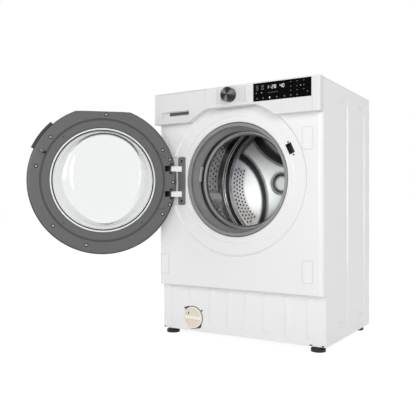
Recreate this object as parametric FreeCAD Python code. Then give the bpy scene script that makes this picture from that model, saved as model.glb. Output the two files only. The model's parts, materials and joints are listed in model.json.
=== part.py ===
"""Integrated front-loading washing machine with its door open, as separate pieces.

Millimetres, +Z up, -Y is the front. The origin lies on the floor, midway between the four feet.
"""
import FreeCAD
import Part

import math
import os

# Cabinet envelope
WIDTH = 600.0
HEIGHT = 820.0
DEPTH = 492.0
FASCIA_OVERHANG = 2.0
BODY_WIDTH = WIDTH - 2 * FASCIA_OVERHANG
BODY_HALF = BODY_WIDTH / 2
SHEET = 1.5
GROUND_GAP = 15.0

# Tub between the side sheets and under the top; the door and the drum follow its radius
TUB_SIDE_ROOM = 44.0
TUB_TOP_ROOM = 42.0
TUB_RADIUS = BODY_HALF - TUB_SIDE_ROOM
AXIS_HEIGHT = HEIGHT - TUB_RADIUS - TUB_TOP_ROOM

# Setbacks behind the front face of the fascia
PANEL_SETBACK = 28.0
PLINTH_SETBACK = 57.0

# Heights of the front parts
PANEL_BOTTOM = 170.0
PANEL_LAP = 5.0
FASCIA_HEIGHT = 103.0
FASCIA_BOTTOM = HEIGHT - FASCIA_HEIGHT

# Fascia
FASCIA_WALL = 3.0
FASCIA_CORNER = 8.0
ARCH_INSET = 7.0
ARCH_RADIUS = TUB_RADIUS - ARCH_INSET
ARCH_FLAT_INSET = 23.0
ARCH_FLAT = TUB_RADIUS - ARCH_FLAT_INSET
ARCH_CREST_ROUND = 40.0
ARCH_FOOT_ROUND = 30.0
DISPLAY_LEFT = 83.0
DISPLAY_END_MARGIN = 26.0
DISPLAY_TOP_MARGIN = 3.5
DISPLAY_WIDTH = WIDTH / 2 - DISPLAY_END_MARGIN - DISPLAY_LEFT
DISPLAY_CENTRE_X = DISPLAY_LEFT + DISPLAY_WIDTH / 2
DISPLAY_HEIGHT = 56.0
DISPLAY_BOTTOM = HEIGHT - DISPLAY_TOP_MARGIN - DISPLAY_HEIGHT
DISPLAY_SEAT = 2.0
DISPLAY_LEDGE = 3.0
DISPLAY_GAP = 0.3
BOARD_THICKNESS = 1.6
BOARD_MARGIN = 8.0

# Programme knob
KNOB_DROP = 30.0
KNOB_HEIGHT = HEIGHT - KNOB_DROP
KNOB_RADIUS = 23.0
KNOB_LENGTH = 21.0
KNOB_GAP = 1.0
KNOB_RIM = 1.5
KNOB_STEM_RADIUS = 3.0
KNOB_STEM_ENGAGE = 14.0
KNOB_STEM_GAP = 0.05

# Detergent drawer
DRAWER_END_MARGIN = 24.0
DRAWER_LEFT = DRAWER_END_MARGIN - WIDTH / 2
DRAWER_RIGHT = -91.5
DRAWER_GAP = 0.5
DRAWER_PLATE = 4.0
DRAWER_BOX_DEPTH = 27.0
HANDLE_INSET = 9.0
HANDLE_WIDTH = 111.0
HANDLE_LEFT = DRAWER_LEFT + HANDLE_INSET
HANDLE_RIGHT = HANDLE_LEFT + HANDLE_WIDTH
HANDLE_RISE = 7.0
HANDLE_BOTTOM = FASCIA_BOTTOM + HANDLE_RISE
HANDLE_SIZE = 32.0
HANDLE_TOP = HANDLE_BOTTOM + HANDLE_SIZE
SLOT_START = 27.0
SLOT_LEFT = HANDLE_LEFT + SLOT_START
SLOT_END_MARGIN = 3.0
SLOT_RIGHT = HANDLE_RIGHT - SLOT_END_MARGIN
SLOT_DROP = 2.0
SLOT_TOP = HANDLE_TOP - SLOT_DROP
SLOT_SIZE = 11.0
SLOT_BOTTOM = SLOT_TOP - SLOT_SIZE
SLOT_DEPTH = 24.0
SCOOP_DEPTH = 9.0
TRAY_END_MARGIN = 14.0
TRAY_LEFT = DRAWER_LEFT + TRAY_END_MARGIN
TRAY_KNOB_MARGIN = 28.5
TRAY_RIGHT = DRAWER_RIGHT - TRAY_KNOB_MARGIN
TRAY_SPAN = TRAY_RIGHT - TRAY_LEFT
TRAY_DROP = 20.0
TRAY_TOP = HEIGHT - TRAY_DROP
TRAY_DEEP = 58.0
TRAY_FLOOR = TRAY_TOP - TRAY_DEEP
TRAY_SHALLOW = 24.0
TRAY_SHALLOW_FLOOR = TRAY_TOP - TRAY_SHALLOW
TRAY_SLOPE_RUN = 50.0
TRAY_KNEE = TRAY_RIGHT - TRAY_SLOPE_RUN
TRAY_SECTION = [(TRAY_LEFT, TRAY_TOP), (TRAY_LEFT, TRAY_FLOOR), (TRAY_KNEE, TRAY_FLOOR),
                (TRAY_RIGHT, TRAY_SHALLOW_FLOOR), (TRAY_RIGHT, TRAY_TOP)]
TRAY_LENGTH = 216.0
TRAY_WALL = 2.0
TRAY_PARTITIONS = (TRAY_LEFT + 0.4014 * TRAY_SPAN, TRAY_LEFT + 0.7183 * TRAY_SPAN)
TRAY_RUNNING_GAP = 1.5
DISPENSER_WALL = 2.0
DISPENSER_FLANGE = 4.0
DISPENSER_ROOF = 8.0
SIPHON_RADIUS = 7.0
SIPHON_HEIGHT = 38.0

# Front panel and the recess for the door
PANEL_CORNER = 12.0
PANEL_FOOT_RADIUS = 6.0
RECESS_INSET = 6.0
RECESS_RADIUS = TUB_RADIUS - RECESS_INSET
RECESS_SLOPE = 5.0
RECESS_DEPTH = 8.0
RECESS_STEP_INSET = 48.0
RECESS_STEP_RADIUS = TUB_RADIUS - RECESS_STEP_INSET
RECESS_STEP = 1.8
MOUTH_INSET = 69.0
MOUTH_RADIUS = TUB_RADIUS - MOUTH_INSET
BEAD_MARGIN = 4.0
BEAD_RADIUS = MOUTH_RADIUS + BEAD_MARGIN
BEAD_HEIGHT = 1.6
COLLAR_LENGTH = 14.0
TAB_MARGIN = 7.0

# Furniture hinge pads under their snap-in covers
PAD_WIDTH = 31.0
PAD_HEIGHT = 65.0
PAD_CORNER = 6.0
PAD_RIGHT_MARGIN = 48.0
PAD_RIGHT_X = BODY_HALF - PAD_RIGHT_MARGIN
PAD_LEFT_MARGIN = 25.0
PAD_LEFT_X = PAD_LEFT_MARGIN - BODY_HALF
PAD_LOW_RISE = 71.0
PAD_LOW_Z = PANEL_BOTTOM + PAD_LOW_RISE
PAD_HIGH_DROP = 75.5
PAD_HIGH_Z = FASCIA_BOTTOM - PAD_HIGH_DROP
PAD_COVER = 1.2
PAD_PLUG_INSET = 2.5
PAD_PLUG_DEPTH = 5.0
PAD_GAP = 0.3

# Plinth
PLINTH_RIBS = (-0.4233 * WIDTH, -0.3017 * WIDTH, -0.1733 * WIDTH, -0.0633 * WIDTH,
               0.0483 * WIDTH, 0.16 * WIDTH, 0.2833 * WIDTH, 0.4067 * WIDTH)
RIB_WIDTH = 18.0
RIB_BOTTOM = 34.0
RIB_BOTTOM_OVER_CAP = 106.0
RIB_TOP_MARGIN = 18.0
RIB_TOP = PANEL_BOTTOM - RIB_TOP_MARGIN
RIB_PROUD = 2.0
RIB_DRAFT = 3.0

# Side panel grooves
GROOVE_REAR_OPEN = 144.0
GROOVE_REAR_TURN = 61.0
GROOVE_OPEN = (0.33 * DEPTH, DEPTH - GROOVE_REAR_OPEN)
GROOVE_TURN = (0.508 * DEPTH, DEPTH - GROOVE_REAR_TURN)
GROOVE_LOW = 60.0
GROOVE_TOP_MARGIN = 45.0
GROOVE_HIGH = HEIGHT - GROOVE_TOP_MARGIN
GROOVE_WIDTH = 18.0
GROOVE_DEPTH = 4.0
GROOVE_FLANK = 5.0
GROOVE_BEND = 30.0

# Door
DOOR_GAP = 2.5
DOOR_RADIUS = ARCH_RADIUS - DOOR_GAP
DOOR_FLAT_GAP = 3.0
DOOR_FLAT = ARCH_FLAT - DOOR_FLAT_GAP
DOOR_PROUD = 1.0
DOOR_SPLIT = 14.0
DOOR_INNER_FACE = 32.0
DOOR_INNER_STEP = 2.0
DOOR_OPEN_ANGLE = 137.0
DOME_RUN = 16.0
DOME_ROUND = 14.0
DOOR_RIM_ROUND = 4.0
WINDOW_LIP_INSET = 78.5
WINDOW_LIP_RADIUS = DOOR_RADIUS - WINDOW_LIP_INSET
WINDOW_LIP_SLOPE = 20.0
WINDOW_LIP_DROP = 4.0
WINDOW_LIP_ROUND = 1.5
WINDOW_SEAT_WIDTH = 10.0
WINDOW_SEAT_RADIUS = WINDOW_LIP_RADIUS + WINDOW_SEAT_WIDTH
WINDOW_THICKNESS = 4.5
WINDOW_GAP = 0.3
GLASS_EDGE_INSET = 61.5
GLASS_EDGE_RADIUS = DOOR_RADIUS - GLASS_EDGE_INSET
GLASS_WALL = 4.0
GLASS_FLANGE = 6.0
GLASS_SEAT_GAP = 0.3
GLASS_LAP = 12.0
GLASS_OPENING_RADIUS = GLASS_EDGE_RADIUS - GLASS_LAP
FRAME_GROOVE_MARGIN = 17.0
FRAME_GROOVE_RADIUS = GLASS_EDGE_RADIUS + FRAME_GROOVE_MARGIN
FRAME_GROOVE_WIDTH = 5.0
FRAME_GROOVE_DEPTH = 2.0
BOWL_MARGIN = 6.0
BOWL_RADIUS = GLASS_OPENING_RADIUS - BOWL_MARGIN
BOWL_SECTIONS = [(17.0, BOWL_RADIUS, BOWL_RADIUS), (40.0, BOWL_RADIUS - 7.0, BOWL_RADIUS - 3.0),
                 (70.0, BOWL_RADIUS - 19.0, BOWL_RADIUS - 11.0), (92.0, BOWL_RADIUS - 35.0, BOWL_RADIUS - 21.0),
                 (103.0, BOWL_RADIUS - 53.0, BOWL_RADIUS - 35.0), (108.0, BOWL_RADIUS - 80.0, BOWL_RADIUS - 57.0)]
HANDLE_LOBE_PROUD = 9.5
HANDLE_LOBE_RADIUS = DOOR_RADIUS + HANDLE_LOBE_PROUD
HANDLE_LOBE_START = 24.5
HANDLE_LOBE_SWEEP = 24.0
HANDLE_LOBE_FRONT = 2.0

# Door hinge
HINGE_INSET = 13.5
HINGE_X = HINGE_INSET - DOOR_RADIUS
HINGE_SETBACK = 12.0
HINGE_PIN_RADIUS = 3.0
HINGE_PIN_GAP = 0.06
HINGE_PIN_ANCHOR = 8.0
HINGE_EYE_RADIUS = 6.5
HINGE_ARM_LOW = 44.0
HINGE_ARM_HIGH = 41.0
HINGE_ARM_HEIGHTS = (AXIS_HEIGHT - HINGE_ARM_LOW, AXIS_HEIGHT + HINGE_ARM_HIGH)
HINGE_ARM_HALF = 9.2
HINGE_NOTCH_GAP = 0.3
HINGE_NOTCH_LENGTH = 28.0
HINGE_NOTCH_INNER_X = HINGE_X + HINGE_NOTCH_LENGTH
BRACKET_NEAR = 9.0
BRACKET_LEFT = HINGE_X + BRACKET_NEAR
BRACKET_FAR = 38.0
BRACKET_RIGHT = HINGE_X + BRACKET_FAR
BRACKET_LOW = 81.0
BRACKET_BOTTOM = AXIS_HEIGHT - BRACKET_LOW
BRACKET_HIGH = 82.0
BRACKET_TOP = AXIS_HEIGHT + BRACKET_HIGH
BRACKET_THICKNESS = 2.7
BRACKET_HOLE_RADIUS = 3.0
BRACKET_HOLE_INSET = 14.0
ARM_THICKNESS = 9.0
HINGE_POCKET_LENGTH = 33.0
HINGE_POCKET_LEFT = HINGE_X - HINGE_POCKET_LENGTH
HINGE_POCKET_GAP = 0.6

# Door lock and latch hook
LATCH_ANGLE = 25.4
LATCH_INSET = 33.5
LATCH_RADIUS = DOOR_RADIUS - LATCH_INSET
HOOK_WIDTH = 7.0
HOOK_HALF_THICKNESS = 3.0
HOOK_REACH = 50.0
HOOK_BARB = 6.0
HOOK_BARB_LENGTH = 7.0
HOOK_PIN_SETBACK = 22.0
HOOK_PIN_RADIUS = 2.5
HOOK_PIN_HALF = 9.0
HOOK_PIN_GAP = 0.06
HOOK_POCKET_GAP = 4.0
LOCK_SLOT_RADIAL = 19.0
LOCK_SLOT_TANGENT = 34.0
LOCK_BODY_RADIAL = 34.0
LOCK_BODY_TANGENT = 62.0
LOCK_BODY_DEPTH = 26.0

# Tub
TUB_WALL = 4.0
TUB_FRONT_SETBACK = 78.0
TUB_SEAM_SETBACK = 250.0
TUB_REAR_ROOM = 58.0
TUB_BACK_SETBACK = DEPTH - TUB_REAR_ROOM
TUB_FLANGE = 8.0
TUB_FLANGE_WIDTH = 5.0
TUB_NECK_INSET = 9.0
TUB_NECK_RADIUS = MOUTH_RADIUS - TUB_NECK_INSET
TUB_NECK_FRONT = 66.0
TUB_NECK_BACK = 90.0
HUB_RADIUS = 38.0
HUB_INSET = 7.0
HUB_FRONT_SETBACK = TUB_BACK_SETBACK - HUB_INSET
HUB_PROUD = 32.0
HUB_BACK_SETBACK = TUB_BACK_SETBACK + HUB_PROUD
BEARING_RADIUS = 26.0
BEARING_WIDTH = 15.0
BEARING_GAP = 0.05

# Gasket between the front panel and the tub
GASKET_WALL = 2.6
GASKET_SEAT = 1.4
GASKET_RADIUS = MOUTH_RADIUS - GASKET_SEAT
GASKET_PATH = [(GASKET_RADIUS, 48.0), (GASKET_RADIUS, 36.0), (GASKET_RADIUS - 7.6, 34.6), (GASKET_RADIUS - 12.1, 38.0),
               (GASKET_RADIUS - 12.1, 44.0), (GASKET_RADIUS - 9.6, 49.0), (GASKET_RADIUS - 13.6, 58.0),
               (GASKET_RADIUS - 22.6, 76.0), (GASKET_RADIUS - 22.6, 83.0), (GASKET_RADIUS - 19.6, 87.0),
               (GASKET_RADIUS - 11.6, 87.0), (GASKET_RADIUS - 11.6, 70.0)]

# Counterweights
WEIGHT_INNER_MARGIN = 3.0
WEIGHT_INNER = MOUTH_RADIUS + WEIGHT_INNER_MARGIN
WEIGHT_OUTER_MARGIN = 4.0
WEIGHT_OUTER = TUB_RADIUS - WEIGHT_OUTER_MARGIN
WEIGHT_THICKNESS = 22.0
WEIGHT_UPPER_START = 42.0
WEIGHT_UPPER_SWEEP = 106.0
WEIGHT_LOWER_START = 207.0
WEIGHT_LOWER_SWEEP = 126.0

# Heater and its well
WELL_HALF = 75.0
WELL_DROP = 24.0
WELL_FRONT_SETBACK = 110.0
WELL_BACK_SETBACK = 235.0
WELL_WALL = 3.0
HEATER_HALF = 35.0
HEATER_ROD = 4.0
HEATER_CLEARANCE = 0.4
HEATER_DROP = 8.0
HEATER_PLATE = 4.0
SUMP_STUB_X = -40.0
SUMP_STUB_SETBACK = 135.0
SUMP_STUB_RADIUS = 17.0
SUMP_STUB_LENGTH = 18.0

# Drum
DRUM_GAP = 10.0
DRUM_RADIUS = TUB_RADIUS - TUB_WALL - DRUM_GAP
DRUM_SKIN = 1.5
DRUM_MOUTH_INSET = 33.0
DRUM_MOUTH_RADIUS = MOUTH_RADIUS - DRUM_MOUTH_INSET
DRUM_FRONT_SETBACK = 95.0
DRUM_SHOULDER_SETBACK = 106.0
DRUM_REAR_ROOM = 32.0
DRUM_BACK_SETBACK = TUB_BACK_SETBACK - DRUM_REAR_ROOM
DRUM_THROAT = 18.0
STAR_ANGLES = (14.0, 134.0, 254.0)
STAR_PROUD = 20.0
STAR_HUB_RADIUS = 64.0
STAR_ARM_MARGIN = 26.0
STAR_REACH = DRUM_RADIUS - STAR_ARM_MARGIN
STAR_DRAFT = 32.0
STAR_RIM_DRAFT = 8.0
STAR_WAIST = 50.0
STAR_DISH_RADIUS = 38.0
STAR_DISH_FLOOR = 28.0
STAR_DISH_DEPTH = 9.0
LIFTER_ANGLES = (74.0, 194.0, 314.0)
LIFTER_HEIGHT = 40.0
LIFTER_BASE = 80.0
LIFTER_CREST = 22.0
LIFTER_FRONT_SETBACK = 128.0
LIFTER_REAR_ROOM = 102.0
LIFTER_BACK_SETBACK = DRUM_BACK_SETBACK - LIFTER_REAR_ROOM
LIFTER_END_SLOPE = 26.0
LIFTER_SEAT_GAP = 0.3
HOLE_RADIUS = 3.8
HOLE_ROW_MARGIN = 30.0
HOLE_ROW_PITCH = 12.0
HOLE_ROWS = tuple(DRUM_RADIUS - HOLE_ROW_MARGIN - row * HOLE_ROW_PITCH for row in (3, 2, 1, 0))
HOLE_STEP_ANGLE = 4.6
HOLE_STEPS = 15
SPIDER_HUB_RADIUS = 40.0
SPIDER_DEPTH = 20.0
SPIDER_ARM_ROOT = 58.0
SPIDER_ARM_TIP = 30.0
SPIDER_MARGIN = 8.0
SPIDER_REACH = DRUM_RADIUS - SPIDER_MARGIN
SHAFT_RADIUS = 12.5
SHAFT_SEAT_RADIUS = 10.0

# Drive
PULLEY_RADIUS = 145.0
PULLEY_RIM = 9.0
PULLEY_WIDTH = 14.0
PULLEY_HUB_GAP = 2.0
PULLEY_SETBACK = HUB_BACK_SETBACK + PULLEY_HUB_GAP
PULLEY_HUB_RADIUS = 24.0
PULLEY_SPOKES = 6
PULLEY_SPOKE_WIDTH = 16.0
PULLEY_SPOKE_THICKNESS = 8.0
SHAFT_END = 4.0
MOTOR_X = 40.0
MOTOR_DROP = 78.0
MOTOR_Z = AXIS_HEIGHT - TUB_RADIUS - MOTOR_DROP
MOTOR_RADIUS = 58.0
MOTOR_PULLEY_ROOM = 16.0
MOTOR_BACK_SETBACK = PULLEY_SETBACK - MOTOR_PULLEY_ROOM
MOTOR_LENGTH = 126.0
MOTOR_FRONT_SETBACK = MOTOR_BACK_SETBACK - MOTOR_LENGTH
MOTOR_FIN = 3.0
MOTOR_EAR_HALF = 34.0
MOTOR_EAR_THICKNESS = 14.0
MOTOR_SHAFT_RADIUS = 6.0
MOTOR_SHAFT_GAP = 0.05
MOTOR_SHAFT_DEPTH = 40.0
MOTOR_PULLEY_RADIUS = 10.0
MOTOR_PULLEY_LIP = 2.5
BELT_GAP = 0.3
BELT_THICKNESS = 3.5
BELT_WIDTH = 10.0

# Suspension
SPRING_SIDE_GAP = 8.0
SPRING_X = TUB_RADIUS + SPRING_SIDE_GAP
SPRING_SEAM_OFFSET = 24.0
SPRING_SETBACK = TUB_SEAM_SETBACK + SPRING_SEAM_OFFSET
SPRING_LUG_RISE = 124.0
SPRING_LUG_TOP = AXIS_HEIGHT + SPRING_LUG_RISE
SPRING_LUG_HEIGHT = 12.0
SPRING_LUG_HALF = 8.0
SPRING_RADIUS = 11.0
SPRING_WIRE = 1.8
SPRING_EYE_RADIUS = 9.0
HANGER_DROP = 28.0
HANGER_Z = HEIGHT - HANGER_DROP
HANGER_THICKNESS = 4.0
HANGER_HALF = 1.8
HANGER_PLATE = 26.0
SPRING_SEAT_GAP = 0.3
DAMPER_SIDE_INSET = 170.0
DAMPER_X = WIDTH / 2 - DAMPER_SIDE_INSET
DAMPER_SETBACK = 200.0
DAMPER_RADIUS = 14.0
DAMPER_ROD_RADIUS = 6.0
DAMPER_ROD_GAP = 0.06
DAMPER_BOSS_DROP = 13.8
DAMPER_TOP = AXIS_HEIGHT - math.sqrt(TUB_RADIUS ** 2 - DAMPER_X ** 2) - DAMPER_BOSS_DROP
DAMPER_LENGTH = 127.0
DAMPER_BOTTOM = DAMPER_TOP - DAMPER_LENGTH
DAMPER_CROWN = 12.0
DAMPER_BORE_TOP = DAMPER_TOP - DAMPER_CROWN
DAMPER_ROD_DROP = 44.0
DAMPER_ROD_TOP = DAMPER_TOP - DAMPER_ROD_DROP
DAMPER_BOSS_RADIUS = 17.0

# Base pan and feet
PAN_HEIGHT = 30.0
PAN_FLOOR = 3.0
PAN_WALL = 2.0
FOOT_SIDE_INSET = 30.0
FOOT_X = BODY_HALF - FOOT_SIDE_INSET
FOOT_FRONT_INSET = 13.5
FRONT_FOOT_SETBACK = PLINTH_SETBACK + FOOT_FRONT_INSET
FOOT_REAR_INSET = 47.5
REAR_FOOT_SETBACK = DEPTH - FOOT_REAR_INSET
FOOT_RADIUS = 22.5
FOOT_NECK_RADIUS = 13.0
FOOT_PAD_HEIGHT = 9.0
FOOT_STEM_RADIUS = 5.0
FOOT_STEM_LENGTH = 46.0
FOOT_STEM_GAP = 0.08
FOOT_BOSS_RADIUS = 11.0
FOOT_BOSS_HEIGHT = 30.0
DAMPER_SOCKET_RADIUS = 12.0
DAMPER_SOCKET_HEIGHT = 16.0
SOCKET_GAP = 0.3

# Drain filter and pump
FILTER_SIDE_INSET = 123.5
FILTER_X = FILTER_SIDE_INSET - WIDTH / 2
FILTER_Z = 60.0
CAP_RADIUS = 36.5
CAP_OPENING_RADIUS = 39.0
CAP_PROUD = 5.0
CAP_THICKNESS = 6.0
CAP_RIM = 4.5
CAP_DISH = 4.0
CAP_BAR_HALF = 6.0
CAP_BAR_DROP = 0.6
CAP_SLOT_ANGLE = 144.0
CAP_SLOT_OFFSET = 23.0
CAP_SLOT_HALF_LENGTH = 4.5
CAP_SLOT_HALF_WIDTH = 1.8
CAP_NOTCH_ANGLES = (128.0, -48.0)
CAP_NOTCH_OFFSET = 31.0
CAP_NOTCH_RADIUS = 13.0
CAP_PLUG_RADIUS = 30.0
CAP_PLUG_GAP = 0.08
CAP_PLUG_LENGTH = 36.0
FILTER_WALL = 4.0
FILTER_LENGTH = 108.0
FILTER_FLANGE_RADIUS = 45.0
FILTER_FLANGE = 3.0
FILTER_SADDLE_HALF = 14.0
FILTER_SADDLE_LENGTH = 20.0
FILTER_STUB_LENGTH = 18.0
PUMP_RADIUS = 27.0
PUMP_LENGTH = 74.0
PUMP_PORT_OFFSET = -38.0
PUMP_PORT_RADIUS = 9.0
PUMP_PORT_LENGTH = 22.0

# Hoses
HOSE_WALL = 2.6
HOSE_SEAT_GAP = 0.2
HOSE_LAP = 12.0
SUMP_HOSE_BEND = 34.0
FILL_SETBACK = 225.0
FILL_RADIUS = 15.0
FILL_CROWN_DROP = 103.0
FILL_X = -FILL_RADIUS - HOSE_WALL - HOSE_SEAT_GAP - math.sqrt(FILL_CROWN_DROP * (2 * TUB_RADIUS - FILL_CROWN_DROP))
FILL_SPOUT_LENGTH = 30.0
FILL_SPOUT_BOTTOM = TRAY_FLOOR - FILL_SPOUT_LENGTH
FILL_GAP = 22.0
FILL_SPIGOT_TOP = FILL_SPOUT_BOTTOM - FILL_GAP
INLET_OFFSET = 62.0
INLET_X = TRAY_LEFT + INLET_OFFSET
INLET_DROP = 14.0
INLET_Z = TRAY_TOP - INLET_DROP
INLET_STUB_RADIUS = 8.0
INLET_STUB_LENGTH = 18.0

# Rear fittings
REAR_OPENING_RADIUS = 152.0
REAR_COVER_LAP = 14.0
REAR_COVER_BULGE = 16.0
REAR_COVER_SLOPE = 18.0
VALVE_HALF = 24.0
VALVE_LENGTH = 48.0
VALVE_THREAD_RADIUS = 13.2
VALVE_THREAD_LENGTH = 20.0
VALVE_COLLAR_RADIUS = 19.0
VALVE_COLLAR = 4.0
OUTLET_RADIUS = 11.0
OUTLET_LENGTH = 24.0
OUTLET_COLLAR_RADIUS = 14.0
OUTLET_COLLAR = 3.0
OUTLET_RIM = 2.0
GLAND_SIDE_INSET = 85.0
GLAND_X = WIDTH / 2 - GLAND_SIDE_INSET
GLAND_DROP = 75.0
GLAND_Z = HEIGHT - GLAND_DROP
GLAND_RADIUS = 11.0
GLAND_BORE = 4.5
GLAND_LENGTH = 14.0
GLAND_COLLAR_RADIUS = 16.0
TRANSIT_INSET = 49.0
TRANSIT_X = TUB_RADIUS - TRANSIT_INSET
TRANSIT_LOW = 124.0
TRANSIT_HIGH = 131.0
TRANSIT_HEIGHTS = (AXIS_HEIGHT - TRANSIT_LOW, AXIS_HEIGHT + TRANSIT_HIGH)
TRANSIT_RADIUS = 15.0
TRANSIT_CAP_RADIUS = 19.0
TRANSIT_CAP = 3.0
TRANSIT_PLUG = 6.0
FITTING_GAP = 0.3

# Positions that follow from the sizes above
FOOT_Y = (REAR_FOOT_SETBACK - FRONT_FOOT_SETBACK) / 2
FRONT = -FOOT_Y - FRONT_FOOT_SETBACK
REAR = FRONT + DEPTH
PANEL_Y = FRONT + PANEL_SETBACK
PLINTH_Y = FRONT + PLINTH_SETBACK
PANEL_TOP = FASCIA_BOTTOM + PANEL_LAP
INNER_HALF = BODY_HALF - SHEET
FLOOR_TOP = GROUND_GAP + PAN_FLOOR
RECESS_Y = PANEL_Y + RECESS_DEPTH
HINGE_Y = FRONT + HINGE_SETBACK
DRAWER_BACK_Y = FRONT + DRAWER_BOX_DEPTH


def at(x, y, z):
    """Point or direction."""
    return FreeCAD.Vector(x, y, z)


def block(x0, x1, y0, y1, z0, z1):
    """Rectangular block between two corners."""
    return Part.makeBox(x1 - x0, y1 - y0, z1 - z0, at(x0, y0, z0))


def rod(radius, start, end):
    """Round bar between two points."""
    run = end - start
    return Part.makeCylinder(radius, run.Length, start, run)


def rod_y(radius, x, z, y0, y1):
    """Round bar along the depth."""
    return rod(radius, at(x, y0, z), at(x, y1, z))


def rod_z(radius, x, y, z0, z1):
    """Upright round bar."""
    return rod(radius, at(x, y, z0), at(x, y, z1))


def rounded_corner(before, corner, after):
    """Entry, middle and exit points of the arc that rounds one corner (u, v, radius)."""
    u, v, radius = corner
    to_before = (before[0] - u, before[1] - v)
    to_after = (after[0] - u, after[1] - v)
    length_before = math.hypot(*to_before)
    length_after = math.hypot(*to_after)
    a = (to_before[0] / length_before, to_before[1] / length_before)
    b = (to_after[0] / length_after, to_after[1] / length_after)
    half = math.acos(max(-1.0, min(1.0, a[0] * b[0] + a[1] * b[1]))) / 2
    setback = radius / math.tan(half)
    bisector = (a[0] + b[0], a[1] + b[1])
    size = math.hypot(*bisector)
    reach = radius / math.sin(half) - radius
    entry = (u + a[0] * setback, v + a[1] * setback)
    middle = (u + bisector[0] / size * reach, v + bisector[1] / size * reach)
    leave = (u + b[0] * setback, v + b[1] * setback)
    return entry, middle, leave


def closed_wire(corners, place):
    """Closed outline through (u, v) corners; a third value rounds that corner."""
    count = len(corners)
    stops = []
    for index, corner in enumerate(corners):
        if len(corner) == 3 and corner[2] > 0:
            stops.append(rounded_corner(corners[index - 1], corner, corners[(index + 1) % count]))
        else:
            stops.append((corner[:2], None, corner[:2]))
    edges = []
    for index, (entry, middle, leave) in enumerate(stops):
        if middle is not None:
            edges.append(Part.Arc(place(*entry), place(*middle), place(*leave)).toShape())
        following = stops[(index + 1) % count][0]
        if math.dist(leave, following) > 1e-6:
            edges.append(Part.LineSegment(place(*leave), place(*following)).toShape())
    return Part.Wire(edges)


def plate_xz(corners, y0, y1):
    """Plate with a front outline, from y0 back to y1."""
    return Part.Face(closed_wire(corners, lambda u, v: at(u, y0, v))).extrude(at(0, y1 - y0, 0))


def plate_xy(corners, z0, z1):
    """Plate with a plan outline, from z0 up to z1."""
    return Part.Face(closed_wire(corners, lambda u, v: at(u, v, z0))).extrude(at(0, 0, z1 - z0))


def plate_yz(corners, x0, x1):
    """Plate with a side outline, from x0 across to x1."""
    return Part.Face(closed_wire(corners, lambda u, v: at(x0, u, v))).extrude(at(x1 - x0, 0, 0))


def turned(profile, x=0.0, z=AXIS_HEIGHT, start=0.0, sweep=360.0):
    """Solid turned about a front-to-back axis from (radius, y) corners; start and sweep run from +X to +Z."""
    face = Part.Face(closed_wire(profile, lambda r, y: at(x + r, y, z)))
    solid = face.revolve(at(x, 0, z), at(0, -1, 0), sweep)
    solid.rotate(at(x, 0, z), at(0, -1, 0), start)
    return solid


def turned_upright(profile, x, y):
    """Solid turned about a vertical axis from (radius, z) corners."""
    face = Part.Face(closed_wire(profile, lambda r, z: at(x + r, y, z)))
    return face.revolve(at(x, y, 0), at(0, 0, 1), 360)


def rectangle(u0, u1, v0, v1, radius=0.0):
    """Corners of a rectangle, all rounded alike."""
    return [(u0, v0, radius), (u1, v0, radius), (u1, v1, radius), (u0, v1, radius)]


def offset_points(points, distance, closed):
    """Points moved sideways by a mitred offset, to the right of travel for a positive distance."""
    count = len(points)
    moved = []
    for index, (u, v) in enumerate(points):
        before = points[index - 1] if closed or index > 0 else None
        after = points[(index + 1) % count] if closed or index < count - 1 else None
        normals = []
        for start, end in ((before, (u, v)), ((u, v), after)):
            if start is not None and end is not None:
                length = math.dist(start, end)
                normals.append(((end[1] - start[1]) / length, -(end[0] - start[0]) / length))
        if len(normals) == 1:
            normals.append(normals[0])
        (a, b), (c, d) = normals
        scale = distance / (1 + a * c + b * d)
        moved.append((u + (a + c) * scale, v + (b + d) * scale))
    return moved


def skin(points, thickness):
    """Closed section of a thin wall that follows a run of points, thickened to the right of travel."""
    return points + offset_points(points, thickness, False)[::-1]


def spin(shape, angle):
    """Copy of a shape turned about the drum axis, from +X towards +Z."""
    copy = shape.copy()
    copy.rotate(at(0, 0, AXIS_HEIGHT), at(0, -1, 0), angle)
    return copy


def mirrored(shape):
    """Copy of a shape on the other side of the middle plane."""
    return shape.mirror(at(0, 0, 0), at(1, 0, 0))


def opened(shape):
    """Copy of a shape drawn with the door shut, swung to the open rest pose."""
    copy = shape.copy()
    copy.rotate(at(HINGE_X, HINGE_Y, 0), at(0, 0, -1), DOOR_OPEN_ANGLE)
    return copy


def bent_path(points, bend):
    """Line through points with its inner corners bent to one radius."""
    vectors = [at(*point) for point in points]
    edges = []
    start = vectors[0]
    for before, corner, after in zip(vectors, vectors[1:], vectors[2:]):
        a = (before - corner).normalize()
        b = (after - corner).normalize()
        half = a.getAngle(b) / 2
        setback = bend / math.tan(half)
        bisector = (a + b).normalize()
        entry = corner + a * setback
        leave = corner + b * setback
        middle = corner + bisector * (bend / math.sin(half) - bend)
        edges.append(Part.LineSegment(start, entry).toShape())
        edges.append(Part.Arc(entry, middle, leave).toShape())
        start = leave
    edges.append(Part.LineSegment(start, vectors[-1]).toShape())
    return Part.Wire(edges)


def piped(path, radius):
    """Round bar that follows a path."""
    first = path.Edges[0]
    direction = first.tangentAt(first.FirstParameter)
    ring = Part.Wire(Part.makeCircle(radius, first.valueAt(first.FirstParameter), direction))
    return path.makePipeShell([ring], True, False)


# Cabinet sheets

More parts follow.
